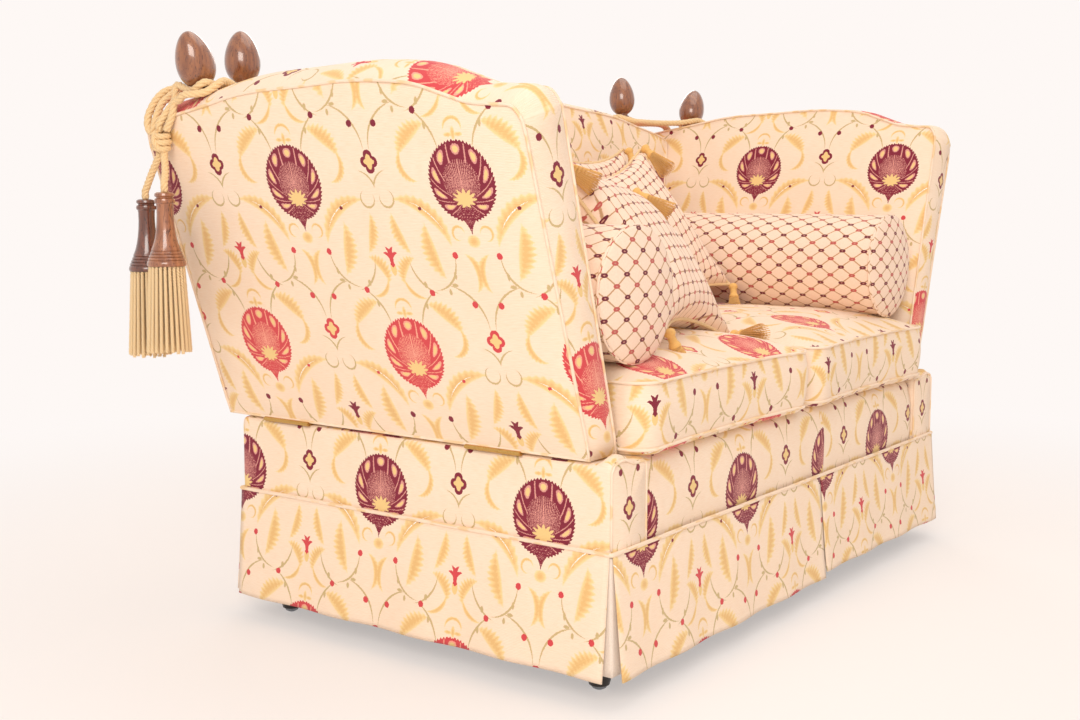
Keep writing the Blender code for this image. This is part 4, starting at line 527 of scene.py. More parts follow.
def trellis_cloth(name):
    made, tree, surface = new_look(name)
    cloth = add(tree, "UVMap", uv_map="cloth")
    split = add(tree, "SeparateXYZ", cloth).node.outputs
    a = add(tree, "MULTIPLY", split[0], 1 / DIAMOND_X)
    b = add(tree, "MULTIPLY", split[1], 1 / DIAMOND_Y)
    lines = []
    for way in ("ADD", "SUBTRACT"):
        slant = add(tree, way, a, b)
        slant = add(tree, "WRAP", slant, 0.5, -0.5)
        lines.append(add(tree, "ABSOLUTE", slant))
    line = add(tree, "MINIMUM", lines[0], lines[1])
    stitch = add(tree, "TexNoise", {0: cloth, 2: 520.0, 3: 1.0})
    line = add(tree, "MULTIPLY_ADD", stitch, 0.05, line)
    line = add(tree, "MapRange", line, 0.055, 0.085, 1.0, 0.0)
    place = add(tree, "CombineXYZ", a, b, 0.0)
    beads = []
    for shift in (0.0, 0.5):
        bead = add(tree, "VectorMath", place, (shift, shift, 0), operation="SUBTRACT")
        bead = add(tree, "VectorMath", bead, (0.5, 0.5, 1), (-0.5, -0.5, -1), operation="WRAP")
        beads.append(add(tree, "Group", bead, (0, 0, 0), (0.150, 0.105, 1),
                         node_tree=spot_group))
    bead = add(tree, "MAXIMUM", beads[0], beads[1])
    bead_on = add(tree, "GREATER_THAN", bead, 0.0)
    bead_eye = add(tree, "GREATER_THAN", bead, 0.70)
    dark = add(tree, "GREATER_THAN", beads[0], 0.0)
    weave = add(tree, "TexNoise", {0: cloth, 2: 260.0, 3: 2.0})
    ground = mix(tree, weave, colour("F6D5BD"), colour("FCE6D3"))
    paint = mix(tree, line, ground, colour("C39A72"))
    tone = mix(tree, dark, colour("C2605A"), colour("712E3A"))
    tone = mix(tree, bead_eye, tone, colour("C9917F"))
    paint = mix(tree, bead_on, paint, tone)
    rise = add(tree, "ADD", weave, bead_on)
    rise = add(tree, "ADD", rise, line)
    bump = add(tree, "Bump", {0: 0.35, 1: 0.0007, 3: rise})
    shader = add(tree, "BsdfPrincipled", {0: paint, 2: 0.8, 5: bump, "Sheen Weight": 0.15,
                                          "Specular IOR Level": 0.2})
    tree.links.new(shader, surface)
    return made


TRELLIS = trellis_cloth("woven trellis cloth")

# %% [markdown]
# ## Thread, rope, wood and metal
# Plain finishes next. Rope and fringe are twisted cotton, so most of what the eye reads is the
# twist in the mesh, and the material only adds fibres. The finials and tassel heads are turned
# walnut under polish: dark pores run along the turning axis, under a clear coat.

# %% Plain finishes
def thread(name, dark, light, scale=900.0):
    made, tree, surface = new_look(name)
    place = add(tree, "TexCoord", out="Object")
    fibre = add(tree, "TexNoise", {0: place, 2: scale, 3: 2.0})
    tone = mix(tree, fibre, colour(dark), colour(light))
    bump = add(tree, "Bump", {0: 0.4, 1: 0.0004, 3: fibre})
    shader = add(tree, "BsdfPrincipled", {0: tone, 2: 0.72, 5: bump, "Sheen Weight": 0.25})
    tree.links.new(shader, surface)
    return made


def polished_wood(name, dark, light, pore):
    made, tree, surface = new_look(name)
    place = add(tree, "TexCoord", out="Object")
    stretched = add(tree, "Mapping", {0: place, 3: (1.0, 1.0, 0.10)})
    grain = add(tree, "TexNoise", {0: stretched, 2: 95.0, 3: 6.0, 4: 0.65})
    bands = add(tree, "TexWave", {0: stretched, 1: 34.0, 2: 5.0, 3: 3.0}, out=1)
    blend = add(tree, "MULTIPLY_ADD", bands, 0.22, grain)
    blend = add(tree, "MapRange", blend, 0.30, 0.90, 0.0, 1.0)
    tone = mix(tree, blend, colour(dark), colour(light))
    pores = add(tree, "TexNoise", {0: stretched, 2: 620.0, 3: 1.0})
    pores = add(tree, "GREATER_THAN", pores, 0.64)
    tone = mix(tree, pores, tone, colour(pore))
    bump = add(tree, "Bump", {0: 0.08, 1: 0.0003, 3: grain})
    shader = add(tree, "BsdfPrincipled", {0: tone, 2: 0.30, 5: bump, "Coat Weight": 1.0,
                                          "Coat Roughness": 0.08})
    tree.links.new(shader, surface)
    return made


def plain_finish(name, dark, light, scale, rough, metal=0.0, stretch=(1, 1, 1)):
    made, tree, surface = new_look(name)
    place = add(tree, "TexCoord", out="Object")
    place = add(tree, "Mapping", {0: place, 3: stretch})
    speck = add(tree, "TexNoise", {0: place, 2: scale, 3: 4.0})
    tone = mix(tree, speck, colour(dark), colour(light))
    gloss = add(tree, "MapRange", speck, 0.3, 0.7, rough - 0.08, rough + 0.08)
    bump = add(tree, "Bump", {0: 0.25, 1: 0.0004, 3: speck})
    shader = add(tree, "BsdfPrincipled", {0: tone, 1: metal, 2: gloss, 5: bump})
    tree.links.new(shader, surface)
    return made


ROPE = thread("twisted cotton rope", "D9B27A", "F7DDB0")
FRINGE = thread("bullion fringe cord", "E3C08A", "FBE6BE")
GOLD_THREAD = thread("gold rayon thread", "DE9F45", "F7CF85")
LINING = thread("cotton skirt lining", "E4D3C2", "F6EADF", 400.0)
EGG_WOOD = polished_wood("polished walnut of the finials", "72402A", "A4683F", "5E3220")
# Two copies of the same walnut for the tassel heads carry painted light and shade: the front head's copy is
# painted lighter, as lit, and the rear head's copy is painted darker, as in shade.
LIT_WALNUT = polished_wood("polished walnut, painted lighter as if lit", "7A4327", "B4764F", "5A2E1A")
SHADED_WALNUT = polished_wood("polished walnut, painted darker as shade", "4A2417", "7E4630", "2F160E")
BEECH = plain_finish("planed beech", "B98A5C", "D8B184", 60.0, 0.55, stretch=(0.15, 1, 1))
BRASS = plain_finish("rolled hinge brass", "B98B45", "DDB56E", 500.0, 0.34, 1.0)
STEEL = plain_finish("drawn spring steel", "6E7074", "A4A6AA", 300.0, 0.38, 1.0)
JUTE = plain_finish("jute webbing", "8D6D45", "B79566", 700.0, 0.85, stretch=(1, 1, 0.2))
CAMBRIC = plain_finish("black dust cambric", "151515", "2B2B2B", 900.0, 0.85)
FOOT_WOOD = plain_finish("ebonised foot", "1C1512", "39302A", 200.0, 0.35)
print("finishes:", len(bpy.data.materials))

# %% [markdown]
# ## Upholstered forms
# A padded arm is a slab whose two faces swell and whose rim is a separate strip of cloth, called
# the boxing, sewn between them. That makes it a stack of closed rings: from the middle of the
# outer face out to the seam, across the boxing, and back to the middle of the inner face. The
# same ring-stacking function makes every cushion and pad here. Each band of faces gets its own
# cloth coordinates in metres, so the drawing runs straight on each panel and breaks at the
# seams, as sewn cloth does.

# %% Rings to meshes
def piece(name, points, faces, look, body, slot=None, lay=None, instead=(), fill=None, sharp=None):
    """A mesh with cloth coordinates, riding on a body and standing for the named nodes."""
    mesh = bpy.data.meshes.new(name)
    mesh.from_pydata([tuple(float(part) for part in point) for point in points], [], faces)
    if lay is not None:
        mesh.uv_layers.new(name="cloth").data.foreach_set("uv", np.asarray(lay, dtype=float).ravel())
    edit = bmesh.new()
    edit.from_mesh(mesh)
    bmesh.ops.recalc_face_normals(edit, faces=edit.faces)
    edit.to_mesh(mesh)
    edit.free()
    mesh.shade_smooth()
    if sharp:
        mesh.set_sharp_from_angle(angle=radians(sharp))
    mesh.materials.append(look)
    made = bpy.data.objects.new(name, mesh)
    bpy.context.scene.collection.objects.link(made)
    if body:
        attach(made, body)
    if instead:
        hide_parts(*instead)
    return made


def stack(rings, bands, capped=True):
    """Faces and cloth coordinates of stacked closed rings; each band holds two rows of coordinates."""
    count = len(rings[0])
    points = [point for ring in rings for point in ring]
    faces, lay = [], []
    for k, (low, high) in enumerate(bands):
        for i in range(count):
            j = (i + 1) % count
            faces.append((k * count + i, k * count + j, (k + 1) * count + j, (k + 1) * count + i))
            lay += [low[i], low[i + 1], high[i + 1], high[i]]
    if capped:
        for k, rows in ((0, bands[0][0]), (len(rings) - 1, bands[-1][1])):
            points.append(np.mean(rings[k], axis=0))
            hub = np.mean(rows[:count], axis=0)
            for i in range(count):
                faces.append((k * count + i, k * count + (i + 1) % count, len(points) - 1))
                lay += [rows[i], rows[i + 1], hub]
    return points, faces, lay


def plain_stack(rings):
    """Stacked rings whose cloth coordinates come later, or never."""
    blank = np.zeros((len(rings[0]) + 1, 2))
    return stack(rings, [(blank, blank)] * (len(rings) - 1))[:2]


def bands_of(*panels):
    """Each panel's rows of coordinates in pairs, one pair to a band of faces."""
    return [pair for rows in panels for pair in zip(rows, rows[1:])]


def around(rows):
    """Close a row of coordinates by repeating its first."""
    rows = np.asarray(rows, dtype=float)
    return np.vstack([rows, rows[:1]])


def run_length(points, closed=True):
    points = np.asarray(points, dtype=float)
    steps = np.diff(around(points) if closed else points, axis=0)
    return np.concatenate([[0], np.cumsum(np.linalg.norm(steps, axis=1))])


def rippled(points, height, scale, seed):
    """Small slow unevenness, as stuffing shows through cloth."""
    found = []
    for point in points:
        place = Vector(point) * scale + Vector((seed, seed * 1.7, 0))
        found.append(np.asarray(point) + height * np.asarray(noise.noise_vector(place)))
    return found


def smooth_line(points, steps, closed=False):
    """A Catmull-Rom curve through the points."""
    points = np.asarray(points, dtype=float)
    count = len(points)
    found = []
    for i in range(count if closed else count - 1):
        picks = [(i + k) % count if closed else min(max(i + k, 0), count - 1) for k in (-1, 0, 1, 2)]
        a, b, c, d = points[picks]
        for step in range(steps):
            t = step / steps
            found.append((b * 2 + (c - a) * t + (a * 2 - b * 5 + c * 4 - d) * t**2
                          + (b * 3 - a - c * 3 + d) * t**3) / 2)
    if not closed:
        found.append(points[-1])
    return np.array(found)


print("helpers ready")

# %% [markdown]
# A seam on this sofa is piped: a thin cord, wrapped in the cover's own cloth, is sewn into it.
# The next function sweeps a round section along any line. It carries its frame along by the
# smallest turn at each step, so a tube never twists at a bend. Strands use it too, wound round
# the same line.

# %% Piping and strands
def frames_along(line, closed):
    line = np.asarray(line, dtype=float)
    ahead = np.roll(line, -1, axis=0) - np.roll(line, 1, axis=0) if closed else np.gradient(line, axis=0)
    ahead /= np.linalg.norm(ahead, axis=1)[:, None]
    side = np.cross(ahead[0], (0.31, 0.17, 0.93))
    sides = []
    for way in ahead:
        side = side - way * side.dot(way)
        side /= np.linalg.norm(side)
        sides.append(side)
    sides = np.array(sides)
    if closed:
        last = sides[-1] - ahead[0] * sides[-1].dot(ahead[0])
        other = np.cross(ahead[0], sides[0])
        slip = atan2(last.dot(other), last.dot(sides[0]))
        turns = -slip * np.arange(len(line)) / len(line)
        others = np.cross(ahead, sides)
        sides = sides * np.cos(turns)[:, None] + others * np.sin(turns)[:, None]
    return ahead, sides, np.cross(ahead, sides)


def tube(line, radius, section=8, closed=False, wound=None):
    """Points, faces and coordinates of a tube; wound = (offset, turns per metre, start angle)."""
    line = np.asarray(line, dtype=float)
    ahead, side, other = frames_along(line, closed)
    lengths = run_length(line, closed)
    if wound:
        offset, pitch, start = wound
        total = lengths[-1]
        rounds = round(pitch * total) / total if closed else pitch
        angles = start + 2 * pi * rounds * lengths[:len(line)]
        line = line + offset * (side * np.cos(angles)[:, None] + other * np.sin(angles)[:, None])
        ahead, side, other = frames_along(line, closed)
    angles = 2 * pi * np.arange(section) / section
    rings = [[p + radius * (s * cos(a) + o * sin(a)) for a in angles] for p, s, o in zip(line, side, other)]
    if closed:
        rings.append(rings[0])
    rows = [np.column_stack([np.full(section + 1, lengths[k]),
                             2 * pi * radius * np.arange(section + 1) / section]) for k in range(len(rings))]
    if closed:
        count = len(line)
        points = [point for ring in rings[:-1] for point in ring]
        faces, lay = [], []
        for k in range(count):
            n = (k + 1) % count
            for i in range(section):
                j = (i + 1) % section
                faces.append((k * section + i, k * section + j, n * section + j, n * section + i))
                lay += [rows[k][i], rows[k][i + 1], rows[k + 1][i + 1], rows[k + 1][i]]
        return points, faces, lay
    return stack(rings, bands_of(rows))


def join(parts):
    """Several point-face-coordinate sets as one."""
    points, faces, lay = [], [], []
    for more_points, more_faces, more_lay in parts:
        first = len(points)
        points += list(more_points)
        faces += [tuple(first + i for i in face) for face in more_faces]
        lay += list(more_lay)
    return points, faces, lay


def piping(name, loops, body, instead=(), radius=0.0030):
    parts = [tube(loop, radius, 8, True) for loop in loops]
    return piece(name, *join(parts)[:2], PIPED, body, "floral_fabric", join(parts)[2], instead)


print("piping is", 2 * 3.0, "mm thick")

# %% [markdown]
# ## The leaning arms
# The arm's outline is the solid's: straight sides, and a humped top that rises in the middle and
# dips to blunt shoulders. Only the number of points grows, so that the boxing turns the corners
# softly. All points are found in the arm's own frame, upright on its hinge, and leaned over last.

# %% Arm sizes
HALF_WIDTH, HALF_DEPTH = 0.676, 0.4155
HINGE_X, HINGE_HEIGHT, LEAN = 0.6803, 0.385, radians(18.5)
BASE_TOP, FRAME_UNDERSIDE = 0.38305, 0.104
ARM_FACE = 0.0046965
ARM_FRONT, ARM_REAR, ARM_TALL = -0.376, 0.443, 0.613
ARM_FOOT_THICK, ARM_TOP_THICK = 0.070, 0.100
ARM_CROWN, ARM_BULGE = 0.018, 0.013
ARM_GAP = 0.0039
BACK_FOOT_THICK, BACK_THINNING, BACK_SWELL = 0.120, 0.020, 0.020
ARM_TOP = [(0.004, 0.885), (0.022, 0.915), (0.190, 0.954), (0.327, 0.984), (0.490, 0.994),
           (0.597, 1.0), (0.684, 0.997), (0.767, 0.984), (0.830, 0.957), (0.885, 0.933),
           (0.938, 0.925), (0.980, 0.919), (0.998, 0.885)]
RIM_SHARES = (0, 0.04, 0.12, 0.25, 0.4, 0.5, 0.6, 0.75, 0.88, 0.96, 1)
FACE_SHARES, FACE_SWELL = [0.0, 0.45, 0.75, 0.90, 0.975, 1.0], [1.0, 1.0, 0.80, 0.45, 0.12, 0.0]


def arm_outline():
    top = smooth_line(ARM_TOP, 9)
    rear = [(0, 0.885 * up, 0.35) for up in np.linspace(0, 0.96, 18)]
    over = [(along, up, 1.0) for along, up in top]
    front = [(1, 0.885 * up, 0.55) for up in np.linspace(0.96, 0, 18)]
    foot = [(along, 0, 0) for along in np.linspace(0.95, 0.05, 19)]
    found = [(ARM_REAR - along * (ARM_REAR - ARM_FRONT), up * ARM_TALL, swell if up else 0)
             for along, up, swell in rear + over + front + foot]
    return np.array(found)


def normals_of(outline):
    run = np.roll(outline, -1, axis=0) - np.roll(outline, 1, axis=0)
    area = np.sum(outline[:, 0] * np.roll(outline[:, 1], -1) - np.roll(outline[:, 0], -1) * outline[:, 1])
    return np.sign(area) * np.column_stack([run[:, 1], -run[:, 0]]) / np.linalg.norm(run, axis=1)[:, None]


OUTLINE = arm_outline()
OUT_WAYS = normals_of(OUTLINE[:, :2])
ARM_MIDDLE = (-0.04 * 0.819, 0.47 * ARM_TALL)
ARM_INNER_REAR = HALF_DEPTH - BACK_FOOT_THICK - 2 * BACK_SWELL
print("arm outline:", len(OUTLINE), "points")


# %% Arm rings
def arm_thick(height):
    return ARM_FOOT_THICK + (ARM_TOP_THICK - ARM_FOOT_THICK) / ARM_TALL * np.clip(height, 0, ARM_TALL)


def arm_foot(t, height):
    """The underside of the leaning arm is level, so a point's height shifts with its depth."""
    return (ARM_GAP / 2 - t * sin(LEAN)) / cos(LEAN) * (1 - height / ARM_TALL)


def arm_rim(share):
    y, height, swell = OUTLINE.T
    t = ARM_FACE + share * arm_thick(height)
    puff = 4 * share * (1 - share) * ARM_CROWN * swell
    return np.column_stack([t, y + OUT_WAYS[:, 0] * puff,
                            height + arm_foot(t, height) + OUT_WAYS[:, 1] * puff])


def arm_face(inner, scale):
    bulge = np.interp(scale, FACE_SHARES, FACE_SWELL)
    y = ARM_MIDDLE[0] + scale * (OUTLINE[:, 0] - ARM_MIDDLE[0])
    height = ARM_MIDDLE[1] + scale * (OUTLINE[:, 1] - ARM_MIDDLE[1])
    if inner:
        if scale < 0.8:
            y = np.minimum(y, ARM_INNER_REAR + (y - ARM_INNER_REAR) * 0.02)
        swell = np.clip((ARM_INNER_REAR - y) / ARM_TOP_THICK, 0, 1)
        t = ARM_FACE + arm_thick(height) + bulge * swell * ARM_BULGE
    else:
        t = ARM_FACE - bulge * ARM_BULGE + 0 * y
    return np.column_stack([t, y, height + arm_foot(t, height)])


def lean_over(points, hand):
    points = np.asarray(points, dtype=float)
    x = -HINGE_X + points[:, 0] * cos(LEAN) - points[:, 2] * sin(LEAN)
    z = HINGE_HEIGHT + points[:, 0] * sin(LEAN) + points[:, 2] * cos(LEAN)
    return np.column_stack([hand * x, points[:, 1], z])


def face_lay(ring, shift_y, shift_up):
    return around(np.column_stack([ring[:, 1] - shift_y, ring[:, 2] - shift_up]))


def build_arm(side, hand):
    scales = [0.04, 0.15, 0.27, 0.38, 0.49, 0.60, 0.70, 0.79, 0.87, 0.93, 0.965, 0.985]
    outer = [arm_face(False, scale) for scale in scales]
    rims = [arm_rim(share) for share in RIM_SHARES]
    inner = [arm_face(True, scale) for scale in reversed(scales)]
    outer_rows = [face_lay(ring, 0.100, 0.457) for ring in outer + [rims[0]]]
    inner_rows = [face_lay(ring, 0.063, 0.459) for ring in [rims[-1]] + inner]
    start = int(np.argmax((OUTLINE[:, 0] < ARM_FRONT + 0.001) & (OUTLINE[:, 1] < 0.001)))
    lengths = run_length(OUTLINE[:, :2])
    along = -(lengths - lengths[start]) - 0.42
    rim_rows = [np.column_stack([np.append(ring[:, 0], ring[0, 0]) - ARM_FACE - 0.045 + HALF_STEP, along])
                for ring in rims]
    points, faces, lay = stack([lean_over(ring, hand) for ring in outer + rims + inner],
                               bands_of(outer_rows, rim_rows, inner_rows))
    points = rippled(points, 0.0011, 11.0, 3.0 if hand > 0 else 8.0)
    made = piece(f"{side}_arm_upholstery", points, faces, FLORAL, f"{side}_arm", "floral_fabric", lay,
                 (f"{side}_arm_pad",), 0.9)
    loops = []
    for ring, depth in ((rims[0], -0.0006), (rims[-1], 0.0006)):
        loop = ring.copy()
        loop[:, 0] += depth
        loop[:, 1] += OUT_WAYS[:, 0] * 0.0012 * (OUTLINE[:, 2] > 0)
        loop[:, 2] += OUT_WAYS[:, 1] * 0.0012 * (OUTLINE[:, 2] > 0) + 0.0024 * (OUTLINE[:, 1] == 0)
        loops.append(lean_over(loop, hand))
    piping(f"{side}_arm_piping", loops, f"{side}_arm", (), 0.0026)
    return made


arms = [build_arm("left", 1), build_arm("right", -1)]
print("arm upholstery:", [len(made.data.vertices) for made in arms], "points")

# %% [markdown]
# ## The back
# The back stands between the arms, so its ends lean outwards with them. Its top is a shallow
# camel: highest in the middle, falling in one slow curve to each end. It is made in the same
# way as an arm: rear face, boxing over the top, and a front face that swells 2 cm.

# %% Back
BACK_CREST, BACK_RAKE = 1.014, radians(3.7)
CAMEL = [(-0.992, 0.865), (-0.965, 0.882), (-0.90, 0.900), (-0.80, 0.921), (-0.66, 0.952),
         (-0.49, 0.969), (-0.33, 0.984), (-0.16, 0.997)]


def back_end(z):
    inner = ARM_FACE + ARM_FOOT_THICK
    taper = (ARM_TOP_THICK - ARM_FOOT_THICK) / ARM_TALL
    height = (z - HINGE_HEIGHT - inner * sin(LEAN)) / (cos(LEAN) + taper * sin(LEAN))
    return HINGE_X - (inner + taper * height) * cos(LEAN) + height * sin(LEAN) - 0.0020


def back_outline():
    low = HINGE_HEIGHT + 0.0003
    camel = CAMEL + [(0, 1.0)] + [(-x, z) for x, z in reversed(CAMEL)]
    shoulder = low + CAMEL[0][1] * (BACK_CREST - low) - 0.017
    relief = lambda share: 0.0050 * max(0, 1 - share / 0.14)
    sides = []
    for share in np.linspace(0, 1, 20):
        z = low + share * (shoulder - low)
        sides.append((back_end(z) - relief(share), z, 0))
    top = smooth_line([(x, low + z * (BACK_CREST - low)) for x, z in camel], 7)
    top = [(x * back_end(z), z, 1.0) for x, z in top]
    foot = [(share * back_end(low), low, 0) for share in np.linspace(0.95, -0.95, 39)]
    return np.array([(-x, z, s) for x, z, s in sides] + top + list(reversed(sides)) + foot)


BACK_OUTLINE = back_outline()
BACK_WAYS = normals_of(BACK_OUTLINE[:, :2])


def back_rear(z):
    return HALF_DEPTH + (z - HINGE_HEIGHT) * tan(BACK_RAKE)


def back_thick(z):
    return BACK_FOOT_THICK - BACK_THINNING * np.clip((z - HINGE_HEIGHT) / (BACK_CREST - HINGE_HEIGHT), 0, 1)


def back_rim(share):
    x, z, part = BACK_OUTLINE.T
    puff = 4 * share * (1 - share) * 0.017 * part
    return np.column_stack([x, back_rear(z) - share * back_thick(z), z + BACK_WAYS[:, 1] * puff])


def back_face(front, scale):
    middle_z = HINGE_HEIGHT + 0.46 * (BACK_CREST - HINGE_HEIGHT)
    bulge = np.interp(scale, FACE_SHARES, FACE_SWELL)
    x = scale * BACK_OUTLINE[:, 0]
    z = middle_z + scale * (BACK_OUTLINE[:, 1] - middle_z)
    y = back_rear(z) - back_thick(z) - bulge * BACK_SWELL if front else back_rear(z) + bulge * 0.004
    return np.column_stack([x, y, z])


def build_back():
    scales = [0.04, 0.14, 0.24, 0.34, 0.44, 0.54, 0.63, 0.72, 0.80, 0.87, 0.93, 0.97, 0.99]
    rear = [back_face(False, scale) for scale in scales]
    rims = [back_rim(share) for share in RIM_SHARES]
    front = [back_face(True, scale) for scale in reversed(scales)]
    lay = lambda ring: around(np.column_stack([ring[:, 0], ring[:, 2] - 0.80]))
    lengths = run_length(BACK_OUTLINE[:, :2])
    rim_rows = [np.column_stack([np.append(ring[:, 1], ring[0, 1]) - 0.36 + HALF_STEP, lengths])
                for ring in rims]
    rear_rows = [lay(ring) for ring in rear + [rims[0]]]
    front_rows = [lay(ring) for ring in [rims[-1]] + front]
    points, faces, rows = stack(rear + rims + front, bands_of(rear_rows, rim_rows, front_rows))
    points = rippled(points, 0.0012, 9.0, 5.0)
    made = piece("back_upholstery", points, faces, FLORAL, "sofa", "floral_fabric", rows, ("back_pad",), 0.9)
    loops = []
    for ring, depth in ((rims[0], 0.0004), (rims[-1], -0.0006)):
        loop = ring.copy()
        loop[:, 1] += depth
        loop[:, 2] += BACK_WAYS[:, 1] * 0.0012 * (BACK_OUTLINE[:, 2] > 0) + 0.0026 * (BACK_OUTLINE[:, 2] == 0)
        loop[:, 0] *= 0.9955
        loops.append(loop)
    piping("back_piping", loops, "sofa", (), 0.0026)
    return made


back = build_back()
print("back:", len(back.data.vertices), "points")

# %% [markdown]
# ## The padded base
# Under the arms stand two upholstered side blocks, and between them the front border, set back a
# little with a soft rolled top edge. Cloth on a block follows its faces: coordinates come from
# the side that each face points to. On the border they run up the face and over the roll, and
# the pattern jumps once, at a join to the right of the middle where two widths of cloth meet.

# %% Base blocks and border
def facing_lay(points, faces, shifts):
    """Cloth coordinates from the main direction of each face; shifts hold one origin per axis."""
    points = np.asarray(points, dtype=float)
    lay = []
    for face in faces:
        corners = points[list(face)]
        way = np.cross(corners[1] - corners[0], corners[2] - corners[0])
        axis = int(np.argmax(np.abs(way)))
        keep = {0: (1, 2), 1: (0, 2), 2: (0, 1)}[axis]
        lay += [(corner[keep[0]] - shifts[axis][0], corner[keep[1]] - shifts[axis][1]) for corner in corners]
    return lay


BLOCK_WIDTH, BLOCK_ROUND = 0.104, 0.010
PANEL_REACH = HALF_WIDTH - BLOCK_WIDTH - 0.0003
WELT_HEIGHT, WELT_OUT = 0.2453, 0.0035


def block_ring(y, scale, crown):
    left, right, r = -HALF_WIDTH, -HALF_WIDTH + BLOCK_WIDTH, BLOCK_ROUND
    middle = np.array([(left + right) / 2, (FRAME_UNDERSIDE + BASE_TOP) / 2])
    flat = [(left, z) for z in np.linspace(FRAME_UNDERSIDE, BASE_TOP - r, 12)]
    flat += [(left + r * (1 - cos(a)), BASE_TOP - r + r * sin(a)) for a in np.linspace(0.3, pi / 2, 5)]
    flat += [(x, BASE_TOP) for x in np.linspace(left + 0.02, right - 0.02, 8)]
    flat += [(right - r * (1 - sin(a)), BASE_TOP - r + r * cos(a)) for a in np.linspace(0, pi / 2 - 0.3, 5)]
    flat += [(right, z) for z in np.linspace(BASE_TOP - r, FRAME_UNDERSIDE, 9)]
    ring = []
    for x, z in flat:
        share = (x - left) / (right - left)
        rise = crown * 0.013 * max(0, sin(pi * min(1, share / 0.62))) if z >= BASE_TOP - 0.001 else 0
        place = (np.array([x, z + rise]) - middle) * scale + middle
        ring.append((place[0], y, place[1]))
    return ring


def build_block(side, hand):
    front, rear, r = -HALF_DEPTH, HALF_DEPTH, BLOCK_ROUND
    stations = [(front, 0.93, 0.5), (front + r / 8, 0.955, 0.6), (front + r / 3, 0.983, 0.8),
                (front + r, 1, 1), (front + 0.018, 1, 1), (front + 0.0235, 1, 0.6), (front + 0.0295, 1, 0)]
    stations += [(y, 1, 0) for y in np.linspace(front + 0.05, rear - 0.03, 30)]
    stations += [(rear - r, 1, 0), (rear - r / 3, 0.983, 0), (rear - r / 8, 0.955, 0), (rear, 0.93, 0)]
    rings = [np.array(block_ring(*station)) for station in stations]
    points, faces = plain_stack(rings)
    points = rippled(points, 0.0009, 12.0, 2.0)
    points = [(hand * x, y, z) for x, y, z in points]
    middle = hand * (-HALF_WIDTH + BLOCK_WIDTH / 2)
    lay = facing_lay(points, faces, ((0.063, 0.286), (middle - HALF_STEP, 0.277), (0.03, 0.10)))
    made = piece(f"{side}_base_upholstery", points, faces, FLORAL, "sofa", "floral_fabric", lay,
                 (f"{side}_base_pad",), 0.9)
    loop = [(hand * x, y - 0.0012, z) for x, y, z in block_ring(front + 0.0018, 0.968, 0.75)]
    loop = [p for p in loop if p[2] > 0.236]
    points, faces, lay = tube(loop, 0.0022, 8)
    piece(f"{side}_block_piping", points, faces, PIPED, "sofa", "floral_fabric", lay)
    return made


blocks = [build_block("left", 1), build_block("right", -1)]

JOIN_X = 0.10
BORDER_PROFILE = smooth_line([
    (0, 0), (-0.003, 0.093), (-0.006, 0.186), (-0.0045, 0.228), (0, 0.249), (0.0039, 0.264),
    (0.015, 0.2751), (0.030, 0.279), (0.050, 0.279), (0.070, 0.279)], 4)


def build_border():
    reach = PANEL_REACH
    stations = sorted(set(np.round(np.linspace(-reach, reach, 61), 5)) | {JOIN_X})
    rings, rows, rows_after = [], [], []
    up = run_length(BORDER_PROFILE, False)
    for x in stations:
        roll = 0.0012 * noise.noise(Vector((x * 14, 0.3, 0)))
        end = max(0, 1 - (reach - abs(x)) / 0.012) * 0.004
        ring = [(x, -HALF_DEPTH + 0.009 + y + (roll if 0.05 < h < 0.27 else 0) + end, FRAME_UNDERSIDE + h)
                for y, h in BORDER_PROFILE]
        ring += [(x, -HALF_DEPTH + 0.079, FRAME_UNDERSIDE + h) for h in (0.2, 0.1, 0.0)]
        rings.append(np.array(ring))
        v = np.concatenate([up, up[-1] + np.array([0.08, 0.18, 0.28, 0.35])]) + FRAME_UNDERSIDE - 0.275
        rows.append(np.column_stack([np.full(len(v), x + 0.243), v]))
        rows_after.append(np.column_stack([np.full(len(v), x - 0.371), v]))
    bands = [(rows[k], rows[k + 1]) if stations[k + 1] <= JOIN_X else (rows_after[k], rows_after[k + 1])
             for k in range(len(stations) - 1)]
    points, faces, lay = stack(rings, bands)
    return piece("front_border_upholstery", points, faces, FLORAL, "sofa", "floral_fabric", lay,
                 ("front_border",), 0.85)


def build_rear_panel():
    reach, inner, outer = PANEL_REACH, 0.3943, HALF_DEPTH
    rings = []
    for x in np.linspace(-reach, reach, 41):
        puff = 0.002 * sin(pi * (x + reach) / (2 * reach))
        profile = [(inner, 0), (outer - 0.004, 0), (outer - 0.001, 0.004), (outer - 0.002, 0.09),
                   (outer - 0.002 + puff, 0.16), (outer - 0.002, 0.25), (outer - 0.003, 0.274),
                   (outer - 0.007, 0.2785), (inner, 0.279)]
        rings.append(np.array([(x, y, FRAME_UNDERSIDE + h) for y, h in profile]))
    points, faces = plain_stack(rings)
    lay = facing_lay(points, faces, ((0.0, 0.286), (0.0, 0.286), (0.0, 0.0)))
    return piece("rear_base_upholstery", points, faces, FLORAL, "sofa", "floral_fabric", lay,
                 ("rear_base_pad",), 0.8)


